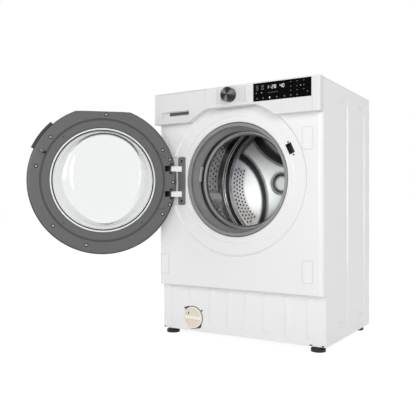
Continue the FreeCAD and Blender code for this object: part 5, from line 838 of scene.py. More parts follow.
class Form:
    """A shape being modelled in millimetres, in plan, with +Z towards whoever looks at it."""

    # Rim, crown and recess of a screw head as shares of its height.
    RIM = 0.6
    CROWN = 0.4
    RECESS = 0.5

    # Slope of the crown, land round the recess, and arms of the recess as shares of the radius.
    SLOPE = 0.2
    LAND = 0.12
    ARM = 0.55
    ARM_HALF = 0.12

    def __init__(self) -> None:
        """Start with nothing."""
        self.bm = bmesh.new()

    def everything(self) -> list:
        """Return all points, edges and faces made so far."""
        return self.bm.verts[:] + self.bm.edges[:] + self.bm.faces[:]

    def thicken(self, wall: float) -> None:
        """Turn the faces outwards and give them a wall."""
        bmesh.ops.recalc_face_normals(self.bm, faces=self.bm.faces[:])
        bmesh.ops.solidify(self.bm, geom=self.bm.faces[:], thickness=wall)

    def turned(self, outline: Outline, steps: int = TURN_STEPS, closed: bool = True,
               centre: tuple[float, float] = (0.0, 0.0)) -> None:
        """Spin an outline into a ring.

        Args:
            outline: Points as (radius, setback).
            steps: Steps in the full turn.
            closed: Whether the outline closes on itself.
            centre: Plan position of the axis.
        """
        verts = [self.bm.verts.new((centre[0] + radius, centre[1], -setback)) for radius, setback in outline]
        edges = [self.bm.edges.new(pair) for pair in zip(verts, verts[1:])]
        if closed:
            edges.append(self.bm.edges.new((verts[-1], verts[0])))
        bmesh.ops.spin(self.bm, geom=verts + edges, cent=(*centre, 0.0), axis=(0.0, 0.0, 1.0),
                       angle=FULL_TURN, steps=steps, use_merge=True)

    def raise_face(self, face: bmesh.types.BMFace, height: float, low: float = 0.0) -> bmesh.types.BMFace:
        """Make a plan face into a closed slab.

        Args:
            face: A face at height zero.
            height: Height of the top.
            low: Height of the bottom.

        Returns:
            The top face.
        """
        top = bmesh.ops.extrude_face_region(self.bm, geom=[face], use_keep_orig=True)["geom"]
        lid = only(top, bmesh.types.BMFace)[0]
        bmesh.ops.translate(self.bm, vec=(0.0, 0.0, height), verts=lid.verts[:])
        bmesh.ops.translate(self.bm, vec=(0.0, 0.0, low), verts=face.verts[:])
        return lid

    def slab(self, corners: Outline, height: float, low: float = 0.0) -> bmesh.types.BMFace:
        """Raise a plan outline into a slab and return its top face."""
        verts = [self.bm.verts.new((x, y, 0.0)) for x, y in corners]
        return self.raise_face(self.bm.faces.new(verts), height, low)

    def block(self, across: tuple[float, float], up: tuple[float, float], height: float,
              low: float = 0.0) -> bmesh.types.BMFace:
        """Raise a rectangle, given by its two ends each way, and return its top face."""
        (left, right), (bottom, top) = across, up
        return self.slab([(left, bottom), (right, bottom), (right, top), (left, top)], height, low)

    def disc(self, x: float, y: float, radius: float, height: float,
             segments: int = 16) -> bmesh.types.BMFace:
        """Raise a round slab.

        Args:
            x, y: Its middle.
            radius, height: Its size.
            segments: Sides of the round.

        Returns:
            The top face.
        """
        spot = Matrix.Translation((x, y, 0.0))
        made = bmesh.ops.create_circle(self.bm, cap_ends=True, radius=radius, segments=segments, matrix=spot)
        return self.raise_face(made["verts"][0].link_faces[0], height)

    def bar(self, x: float, y: float, length: float, width: float, height: float, turn: float = 0.0) -> None:
        """Raise a bar with pointed ends.

        Args:
            x, y: Its middle.
            length, width, height: Its size.
            turn: Its angle in degrees.
        """
        half, side = length / 2, width / 2
        ends = [(-half, 0.0), (side - half, -side), (half - side, -side), (half, 0.0), (half - side, side),
                (side - half, side)]
        cos, sin = math.cos(math.radians(turn)), math.sin(math.radians(turn))
        self.slab([(x + u * cos - v * sin, y + u * sin + v * cos) for u, v in ends], height)

    def ring(self, x: float, y: float, radius: float, width: float, height: float, steps: int = 20) -> None:
        """Raise a flat ring."""
        inner = radius - width
        self.turned([(inner, 0.0), (radius, 0.0), (radius, -height), (inner, -height)], steps, True, (x, y))

    def ribbon(self, points: Outline, width: float, height: float) -> None:
        """Raise a line of even width through points.

        Args:
            points: Corners of the line.
            width, height: Its section.
        """
        for (x0, y0), (x1, y1) in zip(points, points[1:]):
            run = math.hypot(x1 - x0, y1 - y0)
            u, v = (x1 - x0) / run * width / 2, (y1 - y0) / run * width / 2
            self.slab([(x0 - u + v, y0 - v - u), (x1 + u + v, y1 + v - u), (x1 + u - v, y1 + v + u),
                       (x0 - u - v, y0 - v + u)], height)

    def frame(self, x: float, y: float, half: tuple[float, float], corner: float, width: float,
              height: float) -> None:
        """Raise a thin line round a rectangle with rounded corners.

        Args:
            x, y: Its middle.
            half: Half of its width and height.
            corner: Radius of its corners.
            width, height: Section of the line.
        """
        old = set(self.bm.faces)
        spot = Matrix.Translation((x, y, 0.0)) @ Matrix.Diagonal((*half, 1.0, 1.0))
        grid = bmesh.ops.create_grid(self.bm, x_segments=1, y_segments=1, size=1.0, matrix=spot)
        bmesh.ops.bevel(self.bm, geom=grid["verts"], offset=corner, offset_type="OFFSET", segments=5,
                        profile=0.5, affect="VERTICES", material=-1)
        face = max((item for item in self.bm.faces if item not in old), key=lambda item: item.calc_area())
        line = bmesh.ops.inset_region(self.bm, faces=[face], thickness=width, use_boundary=True)["faces"]
        bmesh.ops.delete(self.bm, geom=[face], context="FACES_ONLY")
        top = bmesh.ops.extrude_face_region(self.bm, geom=line, use_keep_orig=True)["geom"]
        bmesh.ops.translate(self.bm, vec=(0.0, 0.0, height), verts=only(top, bmesh.types.BMVert))

    def screw(self, x: float, y: float, radius: float, height: float) -> None:
        """Raise a crowned screw head with a cross recess.

        Args:
            x, y: Its middle.
            radius, height: Size of the head.
        """
        top = self.disc(x, y, radius, height * self.RIM)
        bmesh.ops.inset_region(self.bm, faces=[top], thickness=radius * self.SLOPE, depth=height * self.CROWN)
        bmesh.ops.inset_region(self.bm, faces=[top], thickness=radius * self.LAND, depth=0.0)
        arm, half = radius * self.ARM, radius * self.ARM_HALF
        for vert in top.verts:
            angle = math.atan2(vert.co.y - y, vert.co.x - x)
            near = round(angle / (math.pi / 2)) * math.pi / 2
            off = round((angle - near) / (math.pi / 8))
            reach, side = (arm, half * off) if abs(off) < 2 else (half, half * off / 2)
            vert.co.x = x + reach * math.cos(near) - side * math.sin(near)
            vert.co.y = y + reach * math.sin(near) + side * math.cos(near)
        pit = only(bmesh.ops.extrude_face_region(self.bm, geom=[top])["geom"], bmesh.types.BMVert)
        bmesh.ops.translate(self.bm, vec=(0.0, 0.0, -height * self.RECESS), verts=pit)

    def piece(self, name: str, finish: Finish, body: Body, place: Matrix, *,
              sharp: float = CRISP) -> bpy.types.Object:
        """Close the shape into an object that rides on a body.

        Args:
            name: Name of the piece.
            finish: Its finish.
            body: The body it moves with.
            place: Matrix from plan millimetres to the shared frame.
            sharp: Edges bent by more than this many degrees stay crisp.

        Returns:
            The new object.
        """
        made = self.bare(name, finish, place, sharp)
        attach(made, body.value)
        return made

    def bare(self, name: str, finish: Finish, place: Matrix, sharp: float = CRISP,
             weld: float = 0.001) -> bpy.types.Object:
        """Close the shape into an object with no body yet.

        Args:
            name, finish, place, sharp: As for a piece.
            weld: Distance under which points are merged, in the shape's own unit.

        Returns:
            The new object.
        """
        bmesh.ops.remove_doubles(self.bm, verts=self.bm.verts[:], dist=weld)
        bmesh.ops.transform(self.bm, matrix=place, verts=self.bm.verts[:])
        bmesh.ops.recalc_face_normals(self.bm, faces=self.bm.faces[:])
        for face in self.bm.faces:
            face.smooth = True
        for edge in self.bm.edges:
            edge.smooth = edge.calc_face_angle(0.0) < math.radians(sharp)
        mesh = bpy.data.meshes.new(name)
        self.bm.to_mesh(mesh)
        self.bm.free()
        made = bpy.data.objects.new(name, mesh)
        bpy.context.scene.collection.objects.link(made)
        mesh.materials.append(finish.material(name + "_look"))
        LOG.info("%s: %d faces", name, len(mesh.polygons))
        return made


def screws(name: str, spots: Outline, head: tuple[float, float], finish: Finish, body: Body,
           place: Matrix) -> None:
    """Make a set of screws.

    Args:
        name: Name of the piece.
        spots: Where the heads sit, in plan.
        head: Their radius and height.
        finish, body, place: As for a piece.
    """
    form = Form()
    for x, y in spots:
        form.screw(x, y, *head)
    form.piece(name, finish, body, place)


def rings(name: str, sections: Sequence[Outline], finish: Finish, body: Body, place: Matrix, slot: str,
          steps: int = TURN_STEPS) -> None:
    """Make a piece of one or more rings about one axis.

    Args:
        name: Name of the piece.
        sections: Outlines as (radius, setback).
        finish, body, place: As for a piece; slot: Not used.
        steps: Steps in the full turn.
    """
    form = Form()
    for section in sections:
        form.turned(section, steps)
    form.piece(name, finish, body, place)


def smoothed(made: bpy.types.Object, levels: int) -> None:
    """Round a piece off by subdivision.

    Args:
        made: The piece.
        levels: How often its faces are divided.
    """
    smooth = made.modifiers.new("rounding", "SUBSURF")
    smooth.levels = levels
    smooth.render_levels = levels


def give(made: bpy.types.Object, node: str) -> None:
    """Bake a piece that stands for a solid into place, and hide the solid.

    Args:
        made: The piece.
        node: The solid it stands for.
    """
    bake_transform(made)
    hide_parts(node)


@dataclass
class Fascia:
    """Marks of the control fascia: display, knob legend, grip and seam."""

    glass_setback: float = -0.02
    digit_height: float = 9.6
    digit_width: float = 5.2
    digit_pitch: float = 8.4
    segment: float = 1.15
    segment_share: float = 0.94
    colon_rise: float = 0.2
    colon_radius: float = 0.06
    relief: float = 0.14
    figures_z: float = 801.0
    keys_z: float = 769.0
    spot_radius: float = 1.1
    stroke: float = 0.8
    bar_rows: int = 4
    bars_z: float = 808.0
    bars_pitch: float = 4.2
    dashes: int = 5
    dash_x: float = 136.0
    dash_z: float = 784.0
    dash_pitch: float = 7.0
    dash_length: float = 4.6
    symbol_shift: float = 1.2
    dot_shift: float = 2.0
    dot_radius: float = 0.6
    legend_rows: int = 7
    legend_first: int = 20
    legend_step: int = 10
    legend_root: float = 30.0
    legend_knee: float = 36.0
    legend_rise: float = 20.0
    legend_pitch: float = 7.0
    legend_fan: float = 0.62
    legend_line: float = 0.35
    legend_figure: float = 3.0
    grip_depth: float = 12.0
    grip_setback: float = 11.0
    grip_rim: float = 1.2
    grip_hollow: float = 4.0
    seam_width: float = 0.5
    seam_height: float = 0.05

    # Lit bars of each numeral: top, upper right, lower right, bottom, lower left, upper left, middle.
    NUMERALS = {"0": "1111110", "1": "0110000", "2": "1101101", "3": "1111001", "4": "0110011",
                "5": "1011011", "6": "1011111", "7": "1110000", "8": "1111111", "9": "1111011"}

    # Lit figures as (x, text) and lit spots as (x, z).
    FIGURES = ((132.0, "1:28"), (176.0, "40"))
    SPOTS = ((93.5, 786.0), (112.0, 786.0), (139.0, 769.0), (240.0, 795.5))

    # Columns of bars as (x, length, what every other row adds to it).
    BARS = ((97.0, 9.0, -1.0), (115.5, 8.0, 1.0))

    # Keys along the foot, the lit one first, with rings as (radius, width) and a bar as (length, width).
    KEY_ON = 139.0
    KEYS = (96.0, 117.5, 163.0, 188.0, 209.0, 229.0)
    KEY_ON_RING = (2.6, 0.6)
    KEY_RING = (2.3, 0.5)
    KEY_BAR = (2.4, 0.6)

    # Columns and rows of small symbols with their bar, and the ring in the corner as (x, z, radius, width).
    COLUMNS = (209.0, 229.0, 250.0)
    ROWS = (809.0, 795.5, 783.0)
    SYMBOL_BAR = (3.6, 0.7)
    CORNER_RING = (262.0, 776.0, 1.8, 0.5)

    # Sides of the knob legend as (direction, end of the line, first numeral).
    SIDES = ((1.0, 49.0, 52.0), (-1.0, 42.0, -48.0))

    # Finger slot of the drawer, across and up.
    GRIP = ((-239.6, -159.4), (743.4, 753.6))

    # Joint line at the right end.
    SEAM = ((276.0, 720.0), (276.0, 758.0))

    def numeral(self, form: Form, x: float, z: float, figure: str, height: float) -> None:
        """Draw one seven-bar numeral.

        Args:
            form: Shape to add to.
            x, z: Its middle.
            figure: The figure from 0 to 9.
            height: Its height.
        """
        scale = height / self.digit_height
        half, wide, thick = height / 2, self.digit_width * scale, self.segment * scale
        side, quarter = wide / 2, half / 2
        bars = [(0.0, half, 0.0), (side, quarter, 90.0), (side, -quarter, 90.0), (0.0, -half, 0.0),
                (-side, -quarter, 90.0), (-side, quarter, 90.0), (0.0, 0.0, 0.0)]
        for (u, v, turn), lit in zip(bars, self.NUMERALS[figure]):
            if lit == "1":
                length = half if turn else wide
                form.bar(x + u, z + v, length * self.segment_share, thick, self.relief, turn)

    def figures(self, form: Form, x: float, z: float, text: str, height: float) -> None:
        """Draw a row of numerals, with a colon where the text has one.

        Args:
            form: Shape to add to.
            x, z: Middle of the first numeral.
            text: The figures.
            height: Their height.
        """
        pitch = self.digit_pitch * height / self.digit_height
        for index, figure in enumerate(text):
            if figure == ":":
                for rise in (height * self.colon_rise, -height * self.colon_rise):
                    form.disc(x + index * pitch, z + rise, height * self.colon_radius, self.relief)
            else:
                self.numeral(form, x + index * pitch, z, figure, height)

    def display(self) -> None:
        """Draw the lit and dim marks of the display."""
        glass = from_front(0, self.glass_setback, 0)
        lit = Form()
        for x, text in self.FIGURES:
            self.figures(lit, x, self.figures_z, text, self.digit_height)
        for x, z in self.SPOTS:
            lit.disc(x, z, self.spot_radius, self.relief)
        lit.ring(self.KEY_ON, self.keys_z, *self.KEY_ON_RING, self.relief)
        lit.piece("display_figures", LIT, Body.CABINET, glass)
        dim = Form()
        for row in range(self.bar_rows):
            z = self.bars_z - self.bars_pitch * row
            for x, length, change in self.BARS:
                dim.bar(x, z, length + change * (row % 2), self.stroke, self.relief)
        for column in range(self.dashes):
            x = self.dash_x + self.dash_pitch * column
            dim.bar(x, self.dash_z, self.dash_length, self.stroke, self.relief)
        for column, x in enumerate(self.KEYS):
            dim.ring(x, self.keys_z, *self.KEY_RING, self.relief)
            dim.bar(x, self.keys_z, *self.KEY_BAR, self.relief, 45.0 * column)
        for column, x in enumerate(self.COLUMNS):
            for row, z in enumerate(self.ROWS):
                dim.bar(x - self.symbol_shift, z, *self.SYMBOL_BAR, self.relief, 30.0 * (column + row))
                dim.disc(x + self.dot_shift, z, self.dot_radius, self.relief, segments=8)
        dim.ring(*self.CORNER_RING, self.relief)
        dim.piece("display_symbols", DIM, Body.CABINET, glass)

    def legend(self) -> None:
        """Draw the leader lines and the plain numbers either side of the knob."""
        lines = Form()
        numbers = Form()
        for index in range(self.legend_rows):
            rise = self.legend_rise - self.legend_pitch * index
            z, root = KNOB_Z + rise, KNOB_Z + self.legend_fan * rise
            value = str(self.legend_first + self.legend_step * index)
            for side, end, x in self.SIDES:
                leader = [(side * self.legend_root, root), (side * self.legend_knee, z), (side * end, z)]
                lines.ribbon(leader, self.legend_line, self.relief)
                self.figures(numbers, x, z, value, self.legend_figure)
        lines.piece("legend_lines", PRINT, Body.CABINET, from_front(0, 0, 0))
        numbers.piece("legend_numbers", DARK_PRINT_AND_SLOT_SHADE, Body.CABINET, from_front(0, 0, 0))

    def grip(self) -> None:
        """Line the finger slot of the drawer with dark grey: painted shade in the slot."""
        form = Form()
        top = form.block(*self.GRIP, 0.0, -self.grip_depth)
        bmesh.ops.inset_region(form.bm, faces=[top], thickness=self.grip_rim, depth=-self.grip_hollow)
        form.piece("grip_slot_shade", DARK_PRINT_AND_SLOT_SHADE, Body.DRAWER, from_front(0, self.grip_setback, 0))

    def seams(self) -> None:
        """Draw the upright joint line at the right end of the fascia."""
        form = Form()
        form.ribbon(self.SEAM, self.seam_width, self.seam_height)
        form.piece("fascia_seam", PRINT, Body.CABINET, from_front(0, 0, 0))

    def build(self) -> None:
        """Make every mark of the fascia."""
        self.display()
        self.legend()
        self.grip()
        self.seams()


@dataclass
class Mouth:
    """What rings the loading mouth: the rubber bellows and the fixings of lock and hinge."""

    bellows_wall: float = 2.2
    bellows_crisp: float = 70.0
    front_setback: float = 50.0
    back_setback: float = 85.0
    nozzle_start: float = 162.0
    nozzle_sweep: float = 18.0
    nozzle_steps: int = 12
    nozzle_rim: float = 0.6
    nozzle_end: float = 1.0
    recess_setback: float = 36.0
    bracket_setback: float = 33.3

    # Middle of the rubber from the collar of the front sheet, round its lip, to the neck of the tub.
    BELLOWS = ((183.6, 48.0), (183.6, 38.0), (182.2, 35.4), (179.4, 34.8), (177.6, 36.0), (176.0, 36.0),
               (174.0, 34.9), (172.2, 36.4), (171.5, 39.0), (171.6, 43.5), (173.4, 47.5), (173.4, 50.5),
               (170.0, 58.0), (165.4, 67.2), (161.6, 75.0), (161.0, 81.0), (162.4, 85.4), (165.6, 87.0),
               (170.0, 86.6), (172.0, 83.0), (172.0, 71.0))

    # Section of the spray channel as (radius, setback).
    NOZZLE = ((160.2, 70.0), (160.4, 84.0), (158.8, 85.0), (157.0, 82.0), (156.6, 73.0), (158.0, 70.0))

    # Screws as (x, z), with the radius and height of their heads.
    LOCK_SCREWS = ((184.0, 634.0), (202.0, 595.0))
    LOCK_HEAD = (2.7, 1.6)
    BRACKET_SCREWS = ((-207.5, 457.0), (-207.5, 592.0))
    BRACKET_HEAD = (4.0, 0.8)

    def bellows(self) -> None:
        """Make the rubber bellows between the front sheet and the tub."""
        form = Form()
        form.turned(self.BELLOWS, closed=False)
        form.thicken(self.bellows_wall / 2)
        made = form.bare("bellows", FINISHES["gasket_grey"], from_front(0, 0, AXIS_Z), self.bellows_crisp)
        smoothed(made, 2)
        give(made, "door_gasket")

    def nozzle(self) -> None:
        """Make the short spray channel on the inner lip of the bellows."""
        form = Form()
        bm = form.bm
        verts = [bm.verts.new((radius, 0.0, -setback)) for radius, setback in self.NOZZLE]
        face = bm.faces.new(verts)
        bmesh.ops.rotate(bm, verts=verts, matrix=Matrix.Rotation(math.radians(self.nozzle_start), 3, "Z"))
        swept = bmesh.ops.spin(bm, geom=[face], cent=(0, 0, 0), axis=(0, 0, 1),
                               angle=math.radians(self.nozzle_sweep), steps=self.nozzle_steps)
        ends = only(swept["geom_last"], bmesh.types.BMFace)
        bmesh.ops.inset_region(bm, faces=ends, thickness=self.nozzle_rim, depth=self.nozzle_end)
        form.piece("spray_nozzle", PALE_PLASTIC, Body.TUB, from_front(0, 0, AXIS_Z))

    def build(self) -> None:
        """Make everything round the mouth."""
        self.bellows()
        self.nozzle()
        screws("lock_screws", self.LOCK_SCREWS, self.LOCK_HEAD, BLACKED_STEEL_AND_PAINTED_SHADE, Body.CABINET,
               from_front(0, self.recess_setback, 0))
        screws("bracket_screws", self.BRACKET_SCREWS, self.BRACKET_HEAD, BLACKED_STEEL_AND_PAINTED_SHADE, Body.CABINET,
               from_front(0, self.bracket_setback, 0))


@dataclass
class Porthole:
    """Trim of the door, drawn shut and then swung to its open rest."""

    face_setback: float = 32.0
    screw_radius: float = 3.4
    screw_height: float = 1.0
    well_shade_width: float = 2.8
    well_shade_height: float = 0.25
    clip_radius: float = 189.0
    bore_height: float = 0.15
    edge_end: float = 234.0
    edge_steps: int = 160
    flat_height: float = 226.2
    flat_half: float = 86.0
    flat_width: float = 1.6
    flat_low: float = 14.1
    flat_top: float = 14.6
    groove_radius: float = 200.0
    groove_width: float = 4.6
    groove_floor: float = 29.95
    groove_shade_height: float = 0.3
    groove_steps: int = 128
    glass_wall: float = 4.5
    glass_crisp: float = 60.0
    bowl_shift: float = 5.0
    bowl_lift: float = 2.0
    bowl_egg: float = 20.0
    pocket_inner: float = 203.2
    pocket_reach: float = 16.0
    pocket_half: float = 9.2
    pocket_floor: tuple[float, float] = (4.7, 5.2)
    pocket_wall: float = 0.4
    pocket_height: tuple[float, float] = (5.0, 31.0)

    # Screws of the inner ring as (angle from +X towards +Z with the door shut, radius).
    SCREWS = ((92.6, 216.0), (39.4, 217.0), (11.7, 218.0), (-42.8, 218.0), (-75.7, 219.0), (152.3, 221.0),
              (162.1, 231.0), (181.2, 231.0), (200.0, 234.0), (209.7, 225.0))

    # Heights from the middle of the door: the two hinge arms, and the ends of the pin bores.
    ARMS = (-44.0, 41.0)
    BORES = (-58.5, -29.5, 26.5, 55.5)
    BORE_X = (219.0, 229.0)
    BORE_HALF = 4.0

    # Angles of the clips with their length, width and height, and edges of the hinge plate with theirs.
    CLIPS = (48.0, 132.0, 228.0, 312.0)
    CLIP = (9.0, 2.4, 0.12)
    PLATE_LINE = (1.0, 0.1)
    PLATE_EDGES = (((174.0, 100.0), (181.0, 90.0), (207.0, 76.0)),
                   ((174.0, -94.0), (197.0, -94.0), (213.0, -84.0)))

    # Sections of the rings round the glass and of the dark line round the door, a painted shadow along the
    # joint of the frames, as (radius, setback).
    BEAD = ((165.6, -25.0), (170.8, -25.0), (170.8, -31.2), (170.0, -31.8), (166.4, -31.8), (165.6, -31.2))
    LIP = ((161.8, -30.4), (165.5, -30.4), (165.5, -31.6), (164.9, -31.9), (162.2, -31.4))
    WASHER = ((167.0, -14.1), (181.0, -14.1), (181.0, -15.1), (168.0, -15.3), (167.0, -14.8))
    LINER = ((164.9, -1.0), (165.8, -1.0), (165.8, -8.6), (164.9, -8.6))
    EDGE_SHADOW = ((242.6, -14.1), (244.3, -14.1), (244.3, -14.6), (243.0, -15.2), (242.8, -24.6), (241.7, -26.0),
            (240.65, -27.05), (240.5, -26.9), (242.4, -24.8))

    # Loops of the glass as (setback, half width, half height), from the edge of the flange to the end.
    BOWL = ((20.0, 182.6, 182.6), (20.0, 174.0, 174.0), (20.0, 167.5, 167.5), (21.0, 165.6, 165.6),
            (24.0, 164.0, 164.4), (40.0, 154.5, 159.5), (60.0, 142.5, 154.0), (80.0, 130.0, 148.5),
            (91.0, 122.6, 144.6), (96.5, 117.6, 140.6), (100.5, 111.0, 134.6), (102.8, 102.0, 126.0),
            (104.2, 86.0, 108.0), (105.6, 56.0, 72.0), (106.4, 26.0, 34.0), (106.6, 6.0, 8.0))

    # The loop from which the bowl leaves the flange.
    BOWL_ROOT = BOWL[3]

    def place(self, setback: float) -> Matrix:
        """Return where a shape facing into the machine goes once the door is swung open."""
        return swung() @ from_back(0.0, setback, AXIS_Z)

    def spot(self, angle: float, radius: float) -> tuple[float, float]:
        """Return plan coordinates, seen from inside the machine, of a point on the ring."""
        return -radius * math.cos(math.radians(angle)), radius * math.sin(math.radians(angle))

    def fixings(self) -> None:
        """Make the screws of the ring, and pitch-black rings of painted shade round them in their wells."""
        spots = [self.spot(angle, radius) for angle, radius in self.SCREWS]
        face = self.place(self.face_setback)
        screws("ring_screws", spots, (self.screw_radius, self.screw_height), BRIGHT_STEEL, Body.DOOR, face)
        well_shade = Form()
        for x, z in spots:
            well_shade.ring(x, z, self.screw_radius + self.well_shade_width, self.well_shade_width, self.well_shade_height)
        well_shade.piece("ring_screw_painted_shade", PITCH_BLACK, Body.DOOR, face)

    def pockets(self) -> None:
        """Line the floor and the inner end of the two hinge pockets with pitch black: painted shade."""
        form = Form()
        left = self.pocket_inner
        floor_low, floor_top = self.pocket_floor
        wall_low, wall_top = self.pocket_height
        for z in self.ARMS:
            up = (z - self.pocket_half, z + self.pocket_half)
            form.block((left, left + self.pocket_reach), up, floor_top, floor_low)
            form.block((left, left + self.pocket_wall), up, wall_top, wall_low)
        form.piece("hinge_pocket_painted_shade", PITCH_BLACK, Body.DOOR, self.place(0.0))

    def bowl(self) -> None:
        """Press the glass bowl: loops from the flange along the wall to the egg-shaped end."""
        form = Form()
        bm = form.bm
        root, reach = self.BOWL_ROOT[0], self.BOWL[-1][0] - self.BOWL_ROOT[0]
        loops = []
        for setback, half_x, half_z in self.BOWL:
            depth = max(0.0, setback - root) / reach
            spot = Matrix.Translation((self.bowl_shift * depth, self.bowl_lift * depth, setback))
            oval = spot @ Matrix.Diagonal((half_x, half_z, 1.0, 1.0))
            loop = bmesh.ops.create_circle(bm, segments=TURN_STEPS, radius=1.0, matrix=oval)["verts"]
            for vert in loop:
                rise = (vert.co.y - self.bowl_lift * depth) / half_z
                vert.co.y += self.bowl_egg * depth * (1.0 - rise * rise) * half_z / self.BOWL_ROOT[2]
            loops.append(loop)
        for pair in zip(loops, loops[1:]):
            edges = {edge for loop in pair for vert in loop for edge in vert.link_edges
                     if len(edge.link_faces) < 2}
            ends = [edge for edge in edges if any(all(v in loop for v in edge.verts) for loop in pair)]
            bmesh.ops.bridge_loops(bm, edges=ends)
        middle = sum((vert.co for vert in loops[-1]), Vector()) / len(loops[-1])
        bmesh.ops.pointmerge(bm, verts=loops[-1], merge_co=middle)
        form.thicken(self.glass_wall)
        made = form.piece("glass_bowl", FINISHES["clear_glass"], Body.DOOR, self.place(0.0),
                          sharp=self.glass_crisp)
        smoothed(made, 1)
        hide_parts("door_glass")

    def glass_trim(self) -> None:
        """Make the pale bead, the fine dark lip and the washer that hold the glass in the ring."""
        for name, sections, finish, slot in (
                ("glass_bead", (self.BEAD,), CLEAR_BEAD, "clear_glass"),
                ("glass_lip", (self.LIP,), PITCH_BLACK, "gasket_grey"),
                ("glass_washer", (self.WASHER, self.LINER), CLEAR_BEAD, "tray_white")):
            rings(name, sections, finish, Body.DOOR, self.place(0.0), slot)

    def shade_lines(self) -> None:
        """Draw dark lines of painted shade at the clip marks, the edges of the hinge plate and the ends of
        the pin bores.
        """
        form = Form()
        for angle in self.CLIPS:
            form.bar(*self.spot(angle, self.clip_radius), *self.CLIP, 90.0 - angle)
        for points in self.PLATE_EDGES:
            form.ribbon(points, *self.PLATE_LINE)
        for z in self.BORES:
            form.block(self.BORE_X, (z - self.BORE_HALF, z + self.BORE_HALF), self.bore_height)
        form.piece("ring_shade_lines", PAINTED_SHADE_DARK, Body.DOOR, self.place(self.face_setback))

    def edge_shadow(self) -> None:
        """Make the dark line round the inner ring, a painted shadow of its chamfer along the joint between
        the two frames, cut off at the flat top and at the hinge.
        """
        form = Form()
        form.turned(self.EDGE_SHADOW, self.edge_steps)
        for spot, facing in (((0.0, self.flat_height, 0.0), (0.0, 1.0, 0.0)),
                             ((self.edge_end, 0.0, 0.0), (1.0, 0.0, 0.0))):
            bmesh.ops.bisect_plane(form.bm, geom=form.everything(), plane_co=spot, plane_no=facing,
                                   clear_outer=True)
        bmesh.ops.holes_fill(form.bm, edges=[edge for edge in form.bm.edges if edge.is_boundary])
        form.block((-self.flat_half, self.flat_half), (self.flat_height, self.flat_height + self.flat_width),
                   self.flat_top, self.flat_low)
        form.piece("ring_edge_shadow", PITCH_BLACK, Body.DOOR, self.place(0.0))

    def groove(self) -> None:
        """Lay a dark grey ring of painted shade in the groove of the inner ring."""
        form = Form()
        outer = self.groove_radius + self.groove_width / 2
        form.ring(0.0, 0.0, outer, self.groove_width, self.groove_shade_height, self.groove_steps)
        form.piece("ring_groove_shade", GROOVE_PAINTED_SHADE, Body.DOOR, self.place(self.groove_floor))

    def build(self) -> None:
        """Make the trim of the door."""
        self.fixings()
        self.pockets()
        self.bowl()
        self.glass_trim()
        self.shade_lines()
        self.edge_shadow()
        self.groove()


